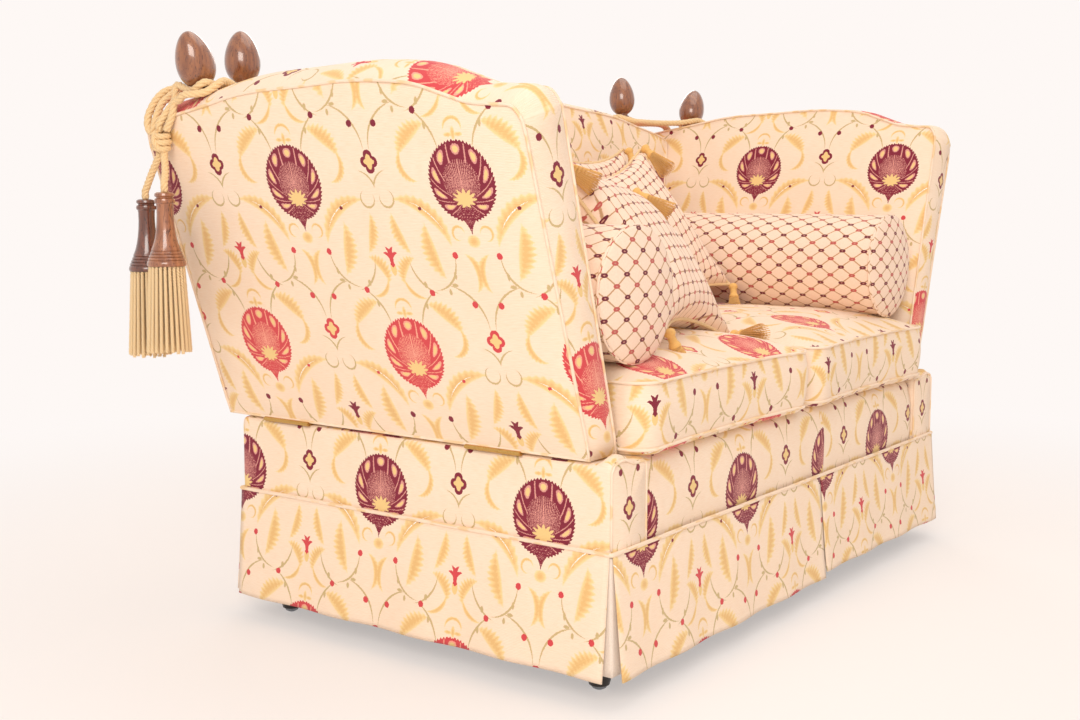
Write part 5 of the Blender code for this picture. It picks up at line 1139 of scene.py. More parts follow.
border, rear_panel = build_border(), build_rear_panel()
welt_line = []
CORNERS = ((-1, -1), (1, -1), (1, 1), (-1, 1))
for (sx, sy), (next_x, next_y) in zip(CORNERS, CORNERS[1:] + CORNERS[:1]):
    for turn in range(5):
        angle = pi / 8 * turn
        a, b = (sin(angle), cos(angle)) if sx * sy < 0 else (cos(angle), sin(angle))
        welt_line.append((sx * (HALF_WIDTH + WELT_OUT * a), sy * (HALF_DEPTH + WELT_OUT * b), WELT_HEIGHT))
    for share in np.linspace(0.02, 0.98, 49):
        x = sx * HALF_WIDTH + (next_x - sx) * HALF_WIDTH * share
        y = sy * HALF_DEPTH + (next_y - sy) * HALF_DEPTH * share
        wave = 0.0009 * noise.noise(Vector((x * 9, y * 9, 1.0)))
        if next_x == sx:
            x = sx * (HALF_WIDTH + WELT_OUT)
        else:
            y = sy * (HALF_DEPTH + WELT_OUT)
        welt_line.append((x, y, WELT_HEIGHT + wave))
piping("skirt_piping", [welt_line], "sofa", ("skirt_welt",), 0.0036)
print("base: blocks, border, rear panel and piping")

# %% [markdown]
# ## Cushions that are really filled
# Feather cushions look right only if their cloth behaves like cloth. Each one is stitched
# together as a plain closed form, blown up a little by Blender's cloth solver with gravity off,
# and its cloth coordinates stay with it because the mesh keeps its own faces. A cap on each
# point's travel keeps the cushion inside the solid that it stands for.

# %% Fill with cloth
def fill_cushion(made, pressure, cap, floor=None, shrink=-0.01):
    before = np.array([vertex.co[:] for vertex in made.data.vertices])
    change = made.modifiers.new("filling", "CLOTH")
    cloth = change.settings
    cloth.quality = 5
    cloth.mass = 0.15
    cloth.tension_stiffness = cloth.compression_stiffness = 9
    cloth.shear_stiffness = 4
    cloth.bending_stiffness = 0.6
    cloth.shrink_min = shrink
    cloth.use_pressure = True
    cloth.uniform_pressure_force = pressure
    cloth.effector_weights.gravity = 0
    change.collision_settings.use_collision = False
    for step in range(1, 21):
        bpy.context.scene.frame_set(step)
    shown = made.evaluated_get(bpy.context.evaluated_depsgraph_get())
    after = np.array([vertex.co[:] for vertex in shown.data.vertices])
    made.modifiers.remove(change)
    bpy.context.scene.frame_set(1)
    move = after - before
    far = np.linalg.norm(move, axis=1)
    move *= (cap * np.tanh(far / cap) / np.maximum(far, 1e-9))[:, None]
    after = before + move
    if floor is not None:
        after[:, 2] = np.maximum(after[:, 2], floor)
    made.data.vertices.foreach_set("co", after.ravel())
    made.data.update()
    print(made.name, "moved at most", round(float(far.max()) * 1000, 1), "mm before the cap")


# %% [markdown]
# ### Seat cushions
# Two box cushions lie side by side: a top and a bottom panel joined by a 10.5 cm boxing, piped
# along both seams. The top is crowned by its filling.

# %% Seat cushions
SEAT_TOP_EDGE = 0.504
SEAM_LOW, SEAM_HIGH = 0.399 - 0.0016, SEAT_TOP_EDGE - 0.0016
SEAT_CROWN, SEAT_FLOOR = 0.040, 0.3838
SEAT_FRONT, SEAT_REAR = -0.430, 0.2775
SEAT_SIDE, SEAT_MEETING, SEAT_GAP = 0.598, 0.018, 0.0075


def cushion_outline(width, depth, corner=0.045, pull=0.010):
    found = []
    for quarter, (sx, sy) in enumerate(((1, -1), (1, 1), (-1, 1), (-1, -1))):
        centre = np.array([sx * (width / 2 - corner), sy * (depth / 2 - corner)])
        for i in range(9):
            angle = -pi / 2 + quarter * pi / 2 + i * pi / 16
            found.append(centre + corner * np.array([cos(angle), sin(angle)]))
        nxt = ((1, 1), (-1, 1), (-1, -1), (1, -1))[quarter]
        stop = np.array([nxt[0] * (width / 2 - corner), nxt[1] * (depth / 2 - corner)])
        away = np.array([cos(quarter * pi / 2), sin(quarter * pi / 2)])
        for share in np.linspace(0, 1, 26)[1:-1]:
            found.append(centre + (stop - centre) * share + away * (corner - pull * sin(pi * share)))
    return np.array(found)


def build_seat_cushion(side, left, right, top_origin, box_origin):
    width, depth = right - left, SEAT_REAR - SEAT_FRONT
    centre = np.array([(left + right) / 2, (SEAT_REAR + SEAT_FRONT) / 2])
    outline = cushion_outline(width, depth)
    ways = outline / np.linalg.norm(outline, axis=1)[:, None]
    ring = lambda scale, z, bulge=0.0: np.column_stack([centre + outline * scale + ways * bulge,
                                                        np.full(len(outline), z)])
    under = [ring(scale, SEAT_FLOOR) for scale in (0.06, 0.25, 0.45, 0.65, 0.82, 0.93)]
    under += [ring(0.97, SEAT_FLOOR + 0.002), ring(0.99, (SEAT_FLOOR + SEAM_LOW) / 2)]
    boxing = [ring(1, SEAM_LOW + share * (SEAM_HIGH - SEAM_LOW), 0.007 * sin(pi * share))
              for share in (0, 0.06, 0.2, 0.35, 0.5, 0.65, 0.8, 0.94, 1)]
    over = [ring(scale, SEAM_HIGH + SEAT_CROWN * (1 - scale ** 2.6))
            for scale in (0.985, 0.96, 0.92, 0.87, 0.81, 0.74, 0.66, 0.57, 0.47, 0.36, 0.24, 0.12, 0.04)]
    flat = lambda one: around(one[:, :2] - np.array(top_origin))
    lengths = run_length(outline)
    front = int(np.argmax((outline[:, 1] < -depth / 2 + 0.02) & (outline[:, 0] > width / 2 - 0.046)))
    strip = -(lengths - lengths[front]) + centre[0] + outline[front, 0]
    strip = np.where(lengths > lengths[-1] * 0.6, strip + lengths[-1], strip)
    under_rows = [flat(one) for one in under + [boxing[0]]]
    box_rows = [np.column_stack([strip - box_origin[0], np.full(len(strip), one[0, 2] - box_origin[1])])
                for one in boxing]
    over_rows = [flat(one) for one in [boxing[-1]] + over]
    points, faces, lay = stack(under + boxing + over, bands_of(under_rows, box_rows, over_rows))
    points = rippled(points, 0.0014, 8.0, 4.0 + right)
    made = piece(f"{side}_seat_cushion_cover", points, faces, FLORAL, f"{side}_seat", "floral_fabric", lay,
                 (f"{side}_seat_cushion",), 0.85)
    fill_cushion(made, 2.5, 0.006, SEAT_FLOOR)
    count = len(outline)
    corners = np.array([vertex.co[:] for vertex in made.data.vertices])
    loops = []
    for k, drop in ((len(under), 0.0008), (len(under) + len(boxing) - 1, -0.0006)):
        loop = corners[k * count:(k + 1) * count]
        out = np.column_stack([ways, np.zeros(count)]) * 0.0016
        loops.append(loop + out - (0, 0, drop))
    piping(f"{side}_seat_cushion_piping", loops, f"{side}_seat", (), 0.0028)
    return made


seat_cushions = [
    build_seat_cushion("left", -SEAT_SIDE, SEAT_MEETING - SEAT_GAP,
                       (-0.49 - HALF_STEP, -0.375 - REPEAT_Y), (-0.55, 0.30)),
    build_seat_cushion("right", SEAT_MEETING + SEAT_GAP, SEAT_SIDE,
                       (0.22 - HALF_STEP, -0.30 - REPEAT_Y), (0.335, 0.30)),
]

# %% [markdown]
# ### Bolsters
# A bolster is a tube of the trellis cloth with a round panel at each end, piped where they meet.
# Stuffing makes the tube bulge very slightly and the end panels dome.

# %% Bolsters
BOLSTER_RADIUS, BOLSTER_LENGTH, BOLSTER_FRONT, BOLSTER_X = 0.114, 0.600, -0.366, 0.528


def build_bolster(side, hand, lift):
    radius, length, start = BOLSTER_RADIUS, BOLSTER_LENGTH, BOLSTER_FRONT
    centre = np.array([hand * -BOLSTER_X, SEAT_TOP_EDGE + radius + lift])
    angles = 2 * pi * np.arange(72) / 72

    def ring(y, share, wobble=0.0):
        puff = radius * share + wobble * np.array([noise.noise(Vector((cos(a) * 1.5, sin(a) * 1.5, y * 9)))
                                                   for a in angles])
        return np.column_stack([centre[0] + hand * puff * np.sin(angles), np.full(72, y),
                                centre[1] + puff * np.cos(angles)])

    cap = [0.05, 0.2, 0.35, 0.5, 0.65, 0.78, 0.88, 0.95, 0.985]
    rings = [ring(start - 0.016 * (1 - share ** 2), share) for share in cap]
    body_shares = [0, 0.012, 0.03, 0.06] + list(np.linspace(0.1, 0.9, 41)) + [0.94, 0.97, 0.988, 1]
    first = len(rings)
    rings += [ring(start + 0.004 + share * (length - 0.008), 0.975 + 0.022 * sin(pi * share) ** 0.35, 0.0016)
              for share in body_shares]
    rings += [ring(start + length + 0.016 * (1 - share ** 2), share) for share in reversed(cap)]
    disc = lambda one: around(np.column_stack([one[:, 0] - centre[0], one[:, 2] - centre[1]]))
    rows_front = [disc(one) for one in rings[:first + 1]]
    around_length = np.arange(73) / 72 * 2 * pi * radius
    repeats = round(2 * pi * radius / DIAMOND_Y)
    around_length *= repeats * DIAMOND_Y / (2 * pi * radius)
    rows_body = [np.column_stack([np.full(73, one[0, 1]), around_length])
                 for one in rings[first:first + len(body_shares)]]
    rows_rear = [disc(one) for one in rings[first + len(body_shares) - 1:]]
    points, faces, lay = stack(rings, bands_of(rows_front, rows_body, rows_rear))
    made = piece(f"{side}_bolster_cover", points, faces, TRELLIS, f"{side}_bolster", "trellis_fabric", lay,
                 (f"{side}_bolster",), 0.95)
    fill_cushion(made, 2.0, 0.0025, None, 0.0)
    corners = np.array([vertex.co[:] for vertex in made.data.vertices])
    parts = []
    for k, shift in ((first, -0.0015), (first + len(body_shares) - 1, 0.0015)):
        loop = corners[k * 72:(k + 1) * 72]
        out = loop - np.array([centre[0], 0, centre[1]])
        out[:, 1] = 0
        loop = loop + out / np.linalg.norm(out, axis=1)[:, None] * 0.0012 + (0, shift, 0)
        parts.append(tube(loop, 0.0026, 8, True))
    points, faces, lay = join(parts)
    piece(f"{side}_bolster_piping", points, faces, TRELLIS, f"{side}_bolster", "trellis_fabric", lay)
    return made


bolsters = [build_bolster("left", 1, 0.01837), build_bolster("right", -1, 0.01959)]

# %% [markdown]
# ### Scatter cushions
# Three square feather cushions lean on their corners. Each is two panels of trellis cloth on
# one shared rim, fat in the middle, with its sides drawn in between pointed corners. A twisted
# cord is sewn on the rim, and a gold tassel hangs from each corner.

# %% Scatter cushions
def cushion_axes(across, upward):
    a = np.array(across, dtype=float)
    a /= np.linalg.norm(a)
    b = np.array(upward, dtype=float)
    b -= a * b.dot(a)
    b /= np.linalg.norm(b)
    side, other = (a + b) / np.sqrt(2), (b - a) / np.sqrt(2)
    return side, other, np.cross(side, other)


def build_scatter(name, centre, across, upward, side, thickness, seed):
    u_axis, v_axis, normal = cushion_axes(across, upward)
    cells, half = 36, side / 2 - 0.003
    pull = 0.036 / half
    index, points, faces, lay = {}, [], [], []
    for face in (1, -1):
        for i in range(cells + 1):
            for j in range(cells + 1):
                u, v = 2 * i / cells - 1, 2 * j / cells - 1
                edge = i in (0, cells) or j in (0, cells)
                if face < 0 and edge:
                    index[face, i, j] = index[1, i, j]
                    continue
                x = u * (1 - pull * (1 - v * v) * u * u)
                y = v * (1 - pull * (1 - u * u) * v * v)
                fat = ((1 - u * u) * (1 - v * v)) ** 0.42
                pucker = 0.006 * noise.noise(Vector((u * 3, v * 3, seed + face))) * (1 - u * u * v * v)
                place = u_axis * (x * half) + v_axis * (y * half)
                place = place + normal * (face * fat * (thickness / 2 - 0.003 + pucker))
                index[face, i, j] = len(points)
                points.append(np.array(centre) + place)
        for i in range(cells):
            for j in range(cells):
                corners = [(i, j), (i + 1, j), (i + 1, j + 1), (i, j + 1)]
                faces.append(tuple(index[face, a, b] for a, b in corners))
                for a, b in corners:
                    p = ((2 * a / cells - 1) * half * 1.06, (2 * b / cells - 1) * half * 1.06)
                    lay.append(((p[0] + p[1]) * 0.7071, (p[1] - p[0]) * 0.7071 * face))
    rim = [(i, 0) for i in range(cells)] + [(cells, j) for j in range(cells)]
    rim += [(cells - i, cells) for i in range(cells)] + [(0, cells - j) for j in range(cells)]
    made = piece(f"{name}_scatter_cover", points, faces, TRELLIS, f"{name}_scatter", "trellis_fabric", lay,
                 (f"{name}_scatter_cushion",), 0.8)
    fill_cushion(made, 3.0, 0.005, None, 0.0)
    corners = np.array([made.data.vertices[index[1, i, j]].co[:] for i, j in rim])
    line = smooth_line(corners, 3, True)
    parts = [tube(line, 0.0024, 6, True, (0.0021, 75.0, start)) for start in (0, 2 * pi / 3, 4 * pi / 3)]
    points, faces, lay = join(parts)
    piece(f"{name}_scatter_cord", points, faces, ROPE, f"{name}_scatter", "rope", lay)
    tips = [corners[k * cells] for k in range(4)]
    return made, tips, np.array(centre)


SCATTERS = {
    "back": build_scatter("back", (0.233, 0.24678, 0.71003), (1, 0, -1), (1, 0.16, 1.2), 0.400, 0.115, 1.0),
    "middle": build_scatter("middle", (0.187, 0.077, 0.701), (0.805, -0.411, -0.428),
                            (0.574, 0.361, 0.734), 0.388, 0.150, 2.0),
    "front": build_scatter("front", (-0.185, -0.165, 0.681), (0.688, -0.324, -0.648),
                           (0.69, 0.575, 0.437), 0.388, 0.150, 3.0),
}
print("scatter corners:", {name: [[round(float(p), 3) for p in tip] for tip in made[1]]
                           for name, made in SCATTERS.items()})

# %% [markdown]
# ## The skirt
# Five flat panels hang from the piped seam to just above the floor, flaring a little. They are
# the same cloth, lined, so about 2 mm thick, and they fall in slow shallow waves. A panel is a
# sheet: its surface is laid out in code as a grid, with its hem turned under.

# %% Skirt panels
SKIRT_TOP, SKIRT_FOOT, SKIRT_THICK = 0.2422, 0.045, 0.0019


def two_layers(rows, columns, place, cloth_at):
    """Two grids, closed along their edges; place(layer, down, across) gives each point."""
    points = [place(k, r / rows, c / columns)
              for k in (0, 1) for r in range(rows + 1) for c in range(columns + 1)]
    at = lambda k, r, c: (k * (rows + 1) + r) * (columns + 1) + c
    faces = []
    for r in range(rows):
        for c in range(columns):
            faces += [(at(k, r, c), at(k, r, c + 1), at(k, r + 1, c + 1), at(k, r + 1, c)) for k in (0, 1)]
        faces += [(at(0, r, c), at(0, r + 1, c), at(1, r + 1, c), at(1, r, c)) for c in (0, columns)]
    for c in range(columns):
        faces += [(at(0, r, c), at(0, r, c + 1), at(1, r, c + 1), at(1, r, c)) for r in (0, rows)]
    return points, faces, [cloth_at(points[i]) for face in faces for i in face]


def build_skirt(name, start, end, outward, shifts, splits=(0, 0), seed=0.0):
    start, end, outward = (np.array(part, dtype=float) for part in (start, end, outward))
    length = np.linalg.norm(end - start)
    main = 0 if abs(end[0] - start[0]) > length / 2 else 1

    def place(layer, down, share):
        along = share * length
        wave = 0.0030 * down * (1 + cos(2 * pi * along / 0.19))
        wave += 0.0016 * down * noise.noise(Vector((along * 6 + seed, down * 1.2, seed)))
        hem = 0.0005 if down > 0.86 else 0.0
        curl = 0.002 * down * (np.exp(-along / 0.02) + np.exp(-(length - along) / 0.02))
        depth = layer * SKIRT_THICK * (1 + hem / SKIRT_THICK)
        off = 0.0032 + 0.0136 * down + wave + depth + hem * 0.4 - curl * 0.5
        low = SKIRT_FOOT + splits[0] * (1 - share) + splits[1] * share
        spot = start + (end - start) * share + outward * off
        return spot[0], spot[1], SKIRT_TOP + (low - SKIRT_TOP) * down

    points, faces, lay = two_layers(22, max(40, round(length / 0.011)), place,
                                    lambda p: (p[main] - shifts[0], p[2] - shifts[1]))
    made = piece(f"{name}_panel", points, faces, FLORAL, "sofa", "floral_fabric", lay, (name,))
    made.data.materials.append(LINING)
    for polygon in made.data.polygons:
        if all(i < len(points) / 2 for i in polygon.vertices):
            polygon.material_index = 1
    return made


X, Y = HALF_WIDTH, HALF_DEPTH
skirts = [
    build_skirt("left_skirt", (-X, -Y, 0), (-X, Y, 0), (-1, 0, 0), (0.063, 0.286), seed=1.0),
    build_skirt("right_skirt", (X, -Y, 0), (X, Y, 0), (1, 0, 0), (0.063, 0.286), seed=2.0),
    build_skirt("rear_skirt", (-X, Y, 0), (X, Y, 0), (0, 1, 0), (0.0, 0.286), seed=3.0),
    build_skirt("front_left_skirt", (-X, -Y, 0), (0.068, -Y, 0), (0, -1, 0), (-0.243, 0.275),
                (0, -0.004), seed=4.0),
    build_skirt("front_right_skirt", (0.072, -Y, 0), (X, -Y, 0), (0, -1, 0), (0.257 - HALF_STEP, 0.275),
                (0.008, 0), seed=5.0),
]
print("skirt panels:", len(skirts))

# %% [markdown]
# At each corner the panels part, and a narrow flap of the lining hangs behind the gap so that
# nothing shows through it. Flaps are sheets too: a strip bent round the corner, just inside the
# skirt, and one straight strip behind the split in the front.

# %% Lining flaps
FLAP_TOP, FLAP_DROP, FLAP_REACH, FRONT_FLAP = 0.2400, 0.1870, 0.052, 0.080


def build_flap(name, line_at):
    def place(layer, down, share):
        x, y = line_at(share, 0.0008 + 0.0088 * down + 0.0008 * layer)
        return x, y, FLAP_TOP - FLAP_DROP * down

    points, faces, lay = two_layers(12, 20, place, lambda p: (p[0] + p[1], p[2]))
    made = piece(name, points, faces, LINING, "sofa", "floral_fabric", lay)


def corner_line(sx, sy):
    def line_at(share, off):
        reach = 2 * abs(share - 0.5) * FLAP_REACH
        x = sx * (X + off - (reach if share < 0.5 else 0))
        y = sy * (Y + off - (reach if share > 0.5 else 0))
        return x, y
    return line_at


for name, corner in {"front_left": (-1, -1), "front_right": (1, -1), "rear_left": (-1, 1),
                     "rear_right": (1, 1)}.items():
    build_flap(f"{name}_lining_flap", corner_line(*corner))
build_flap("front_lining_flap", lambda share, off: (0.030 + FRONT_FLAP * share, -Y - off))
print("five lining flaps")

# %% [markdown]
# ## Ropes and tassels
# The arms are held up by rope. On each side one length goes twice round the arm finial and the
# back finial, comes together in a knot over the arm's rear corner, and leaves it in two tails
# that end in turned wooden tassels. Such rope is four strands laid together, so it is drawn as
# four tubes that wind round one route, which is what gives its ridged, slanting surface.

# %% The tie ropes
TIE_ROUTE = [point / 1000 for point in map(np.array, [
    (-866.8, 385.7, 905.4), (-871.9, 383.6, 915.3), (-866.5, 373.7, 931.4), (-854.1, 361.3, 958.2),
    (-848.6, 361.5, 982.2), (-852.0, 321.5, 971.4), (-847.5, 293.0, 983.8), (-811.7, 301.6, 981.2),
    (-793.1, 310.0, 981.7), (-781.0, 317.5, 980.9), (-770.1, 325.2, 979.8), (-753.5, 334.4, 979.4),
    (-736.4, 343.8, 979.2), (-719.1, 353.1, 979.3), (-701.8, 362.2, 979.7), (-684.4, 371.3, 980.2),
    (-667.1, 380.3, 981.3), (-650.3, 389.2, 984.2), (-635.5, 395.7, 987.8), (-625.6, 410.2, 986.2),
    (-625.4, 430.2, 982.5), (-632.5, 439.6, 981.8), (-643.9, 439.8, 981.5), (-673.8, 431.8, 981.0),
    (-691.8, 423.6, 980.5), (-710.4, 417.1, 979.9), (-729.3, 411.5, 979.6), (-748.3, 406.6, 979.9),
    (-767.4, 402.2, 980.5), (-786.5, 398.2, 980.6), (-805.6, 394.8, 979.2), (-824.0, 393.3, 974.1),
    (-839.8, 395.2, 963.7), (-853.1, 399.6, 949.8), (-865.1, 401.3, 922.5), (-867.6, 402.3, 908.4),
    (-866.8, 409.8, 903.0), (-866.4, 419.0, 911.7), (-864.2, 421.7, 928.9), (-858.6, 417.4, 946.4),
    (-850.5, 411.2, 962.4), (-836.7, 407.8, 974.1), (-818.6, 408.6, 979.3), (-799.4, 411.3, 980.6),
    (-780.2, 415.0, 980.6), (-761.2, 419.4, 980.1), (-742.2, 424.2, 979.6), (-723.4, 429.6, 979.6),
    (-705.1, 435.9, 980.1), (-686.9, 443.0, 980.6), (-668.6, 450.0, 981.2), (-649.8, 455.7, 981.8),
    (-630.9, 456.5, 982.7), (-616.7, 446.1, 985.8), (-610.8, 428.9, 991.1), (-609.7, 407.9, 993.1),
    (-618.3, 389.4, 987.2), (-635.3, 379.4, 982.5), (-652.7, 370.4, 981.1), (-670.0, 361.3, 980.3),
    (-687.4, 352.2, 979.7), (-704.7, 343.1, 979.4), (-722.0, 333.9, 979.4), (-739.2, 324.5, 979.9),
    (-756.3, 315.0, 980.9), (-772.0, 303.8, 983.2), (-789.9, 294.6, 986.2), (-810.8, 287.7, 988.1),
    (-830.0, 281.9, 980.4), (-847.5, 289.2, 968.0), (-860.5, 304.8, 964.7), (-866.1, 323.7, 963.2),
    (-864.5, 337.7, 955.3), (-865.1, 349.0, 952.6), (-865.0, 356.0, 932.2), (-866.8, 371.0, 905.4)])]
ROPE_TURNS = 24.0
SIDES = (("left", 1), ("right", -1))


def laid_rope(line, radius=0.0065, turns=ROPE_TURNS, closed=False, strands=4):
    fat = radius * (0.50 if strands == 4 else 0.54)
    return join([tube(line, fat, 7, closed, (radius - fat, turns, 2 * pi * k / strands))
                 for k in range(strands)])


for side, hand in SIDES:
    route = np.array(TIE_ROUTE) * (hand, 1, 1)
    line = smooth_line(route, 7)
    points, faces, lay = laid_rope(line, 0.0068)
    tie = piece(f"{side}_tie_rope_laid", points, faces, ROPE, None, "rope", lay,
                (f"{side}_tie_rope",))
    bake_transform(tie)
    print(tie.name, "is", round(float(run_length(line, False)[-1]), 2), "m long")

# %% [markdown]
# The knot is a few snug turns of the same rope round the gathered ends, with one turn passed
# over them. It lies against the corner of the arm and turns with the arm.

# %% Knots
KNOT = np.array([-0.8668, 0.3850, 0.8868])


def knot_parts(centre, hand):
    parts = []
    for height, wide in ((0.0105, 0.0105), (0.0, 0.0122), (-0.0105, 0.0105)):
        angles = 2 * pi * np.arange(40) / 40
        ring = centre + np.column_stack([wide * np.cos(angles), wide * 1.15 * np.sin(angles),
                                         height + 0.0022 * np.sin(angles + 0.6)])
        parts.append(laid_rope(ring, 0.0056, 30.0, True))
    angles = np.linspace(-0.55 * pi, 0.55 * pi, 30)
    over = centre + np.column_stack([-hand * 0.0150 * np.cos(angles), 0.0045 * np.sin(angles * 1.4),
                                     0.0160 * np.sin(angles)])
    parts.append(laid_rope(over, 0.0050, 30.0))
    return join(parts)


for side, hand in SIDES:
    points, faces, lay = knot_parts(KNOT * (hand, 1, 1), hand)
    piece(f"{side}_knot", points, faces, ROPE, f"{side}_arm", "rope", lay, (f"{side}_tie_knot",))
print("two knots tied")

# %% [markdown]
# ### Turned tassels
# Each tassel has a head turned from walnut: two beads at the top, a slim waist, and a flared
# base cut with dark grooves. Out of it hangs bullion fringe, a skirt of thick twisted cords.
# A lathe makes a shape of one profile, so the head is a profile spun round its axis. The fringe
# repeats one cord round a ring, which is a job for Geometry Nodes.

# %% A lathe
def turned(name, foot, axis, profile, look, body, slot, instead=(), sides=48, sharp=None):
    axis = np.array(axis, dtype=float) / np.linalg.norm(axis)
    side = np.cross(axis, (0, 1, 0) if abs(axis[1]) < 0.9 else (1, 0, 0))
    side /= np.linalg.norm(side)
    other = np.cross(axis, side)
    angles = 2 * pi * np.arange(sides) / sides
    rings = [np.array([np.array(foot) + axis * along + radius * (side * cos(a) + other * sin(a))
                       for a in angles]) for along, radius in profile]
    rows = [np.column_stack([np.full(sides + 1, along), np.arange(sides + 1) / sides * 0.1])
            for along, radius in profile]
    points, faces, lay = stack(rings, bands_of(rows))
    return piece(name, points, faces, look, body, slot, lay, instead, sharp=sharp)


HEAD_LENGTH, HEAD_RADIUS = 0.125, 0.0330
HEAD = [(0.0, 0.10), (0.0, 0.40), (0.018, 0.50), (0.045, 0.52), (0.062, 0.47), (0.068, 0.42),
        (0.078, 0.42), (0.090, 0.50), (0.115, 0.53), (0.142, 0.51), (0.155, 0.45), (0.185, 0.43),
        (0.30, 0.425), (0.42, 0.45), (0.53, 0.50), (0.62, 0.56), (0.70, 0.64), (0.765, 0.735),
        (0.785, 0.765), (0.792, 0.735), (0.800, 0.775), (0.828, 0.83), (0.834, 0.80), (0.842, 0.84),
        (0.870, 0.895), (0.876, 0.86), (0.884, 0.905), (0.912, 0.955), (0.918, 0.92), (0.926, 0.955),
        (0.958, 1.0), (0.985, 1.0), (1.0, 0.965), (1.0, 0.80), (0.985, 0.10)]
# The rear head takes the walnut painted darker as shade, and the front head the walnut painted lighter as
# lit.
TASSELS = {"rear": ((0.0005, 0.047, -0.098), SHADED_WALNUT), "front": ((-0.0235, -0.033, -0.086), LIT_WALNUT)}
FRINGE_LENGTH = 0.154

# %% [markdown]
# One cord of the fringe is two threads wound round each other. The tree makes it once, sets a
# copy on every point of three rings, leans each copy outwards and varies its length a little.

# %% A tree for fringe
def fringe_tree():
    tree = bpy.data.node_groups.new("bullion fringe", "GeometryNodeTree")
    face = tree.interface
    for label, kind in (("Cords", "NodeSocketInt"), ("Ring Radius", "NodeSocketFloat"),
                        ("Spread", "NodeSocketFloat"), ("Length", "NodeSocketFloat"),
                        ("Cord Radius", "NodeSocketFloat"), ("Twists", "NodeSocketFloat"),
                        ("Seed", "NodeSocketInt"), ("Thread", "NodeSocketMaterial")):
        face.new_socket(label, in_out="INPUT", socket_type=kind)
    face.new_socket("Fringe", in_out="OUTPUT", socket_type="NodeSocketGeometry")
    given = tree.nodes.new("NodeGroupInput").outputs
    result = tree.nodes.new("NodeGroupOutput").inputs[0]
    half = add(tree, "MULTIPLY", given["Cord Radius"], 0.5)
    spiral = add(tree, "GeometryNodeCurveSpiral", {0: 6, 1: given["Twists"], 2: half, 3: half,
                                                   4: given["Length"]})
    section = add(tree, "GeometryNodeCurvePrimitiveCircle", {"Resolution": 4, "Radius": half})
    strand = add(tree, "GeometryNodeCurveToMesh", {0: spiral, 1: section, "Fill Caps": True})
    second = add(tree, "GeometryNodeTransform", {0: strand, "Rotation": (0.0, 0.0, pi)})
    cord = tree.nodes.new("GeometryNodeJoinGeometry")
    tree.links.new(second, cord.inputs[0])
    tree.links.new(strand, cord.inputs[0])
    gathered = tree.nodes.new("GeometryNodeJoinGeometry")
    for k, share in enumerate((1.0, 0.68, 0.34)):
        count = add(tree, "MULTIPLY", given["Cords"], share)
        radius = add(tree, "MULTIPLY", given["Ring Radius"], share)
        ring = add(tree, "GeometryNodeMeshCircle", {"Vertices": count, "Radius": radius})
        place = add(tree, "GeometryNodeInputPosition")
        lean = add(tree, "VectorMath", {0: place, "Scale": given["Spread"]}, operation="SCALE")
        down = add(tree, "VectorMath", lean, (0.0, 0.0, -1.0), operation="ADD")
        turn = add(tree, "FunctionNodeAlignRotationToVector", {"Vector": down}, axis="Z")
        seed = add(tree, "ADD", given["Seed"], float(k))
        length = add(tree, "FunctionNodeRandomValue", {2: 0.965, 3: 1.0, 8: seed}, out=1)
        grown = add(tree, "CombineXYZ", 1.0, 1.0, length)
        copies = add(tree, "GeometryNodeInstanceOnPoints", {"Points": ring, "Instance": cord.outputs[0],
                                                            "Rotation": turn, "Scale": grown})
        tree.links.new(copies, gathered.inputs[0])
    real = add(tree, "GeometryNodeRealizeInstances", gathered.outputs[0])
    dressed = add(tree, "GeometryNodeSetMaterial", {0: real, "Material": given["Thread"]})
    tree.links.new(dressed, result)
    return tree


FRINGE_TREE = fringe_tree()


def grow(name, tree, values):
    """What a Geometry Nodes tree makes of the given inputs, as a plain mesh."""
    seed = bpy.data.objects.new(name + "_seed", bpy.data.meshes.new(name + "_seed"))
    bpy.context.scene.collection.objects.link(seed)
    change = seed.modifiers.new("grow", "NODES")
    change.node_group = tree
    names = {item.name: item.identifier for item in tree.interface.items_tree if item.in_out == "INPUT"}
    for label, value in values.items():
        change[names[label]] = value
    shown = seed.evaluated_get(bpy.context.evaluated_depsgraph_get())
    mesh = bpy.data.meshes.new_from_object(shown)
    bpy.data.objects.remove(seed)
    mesh.name = name
    return mesh


def placed(name, mesh, body, foot=(0, 0, 0), turn=None):
    """An object at the origin whose mesh is moved to its place."""
    spot = Matrix.Translation([float(part) for part in foot])
    mesh.transform(spot @ turn.to_matrix().to_4x4() if turn else spot)
    mesh.shade_smooth()
    made = bpy.data.objects.new(name, mesh)
    bpy.context.scene.collection.objects.link(made)
    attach(made, body)
    return made


# %% [markdown]
# The tails are the only free ropes here. Each leaves the knot downwards, bends over the corner
# of the arm and ends in its tassel's head.

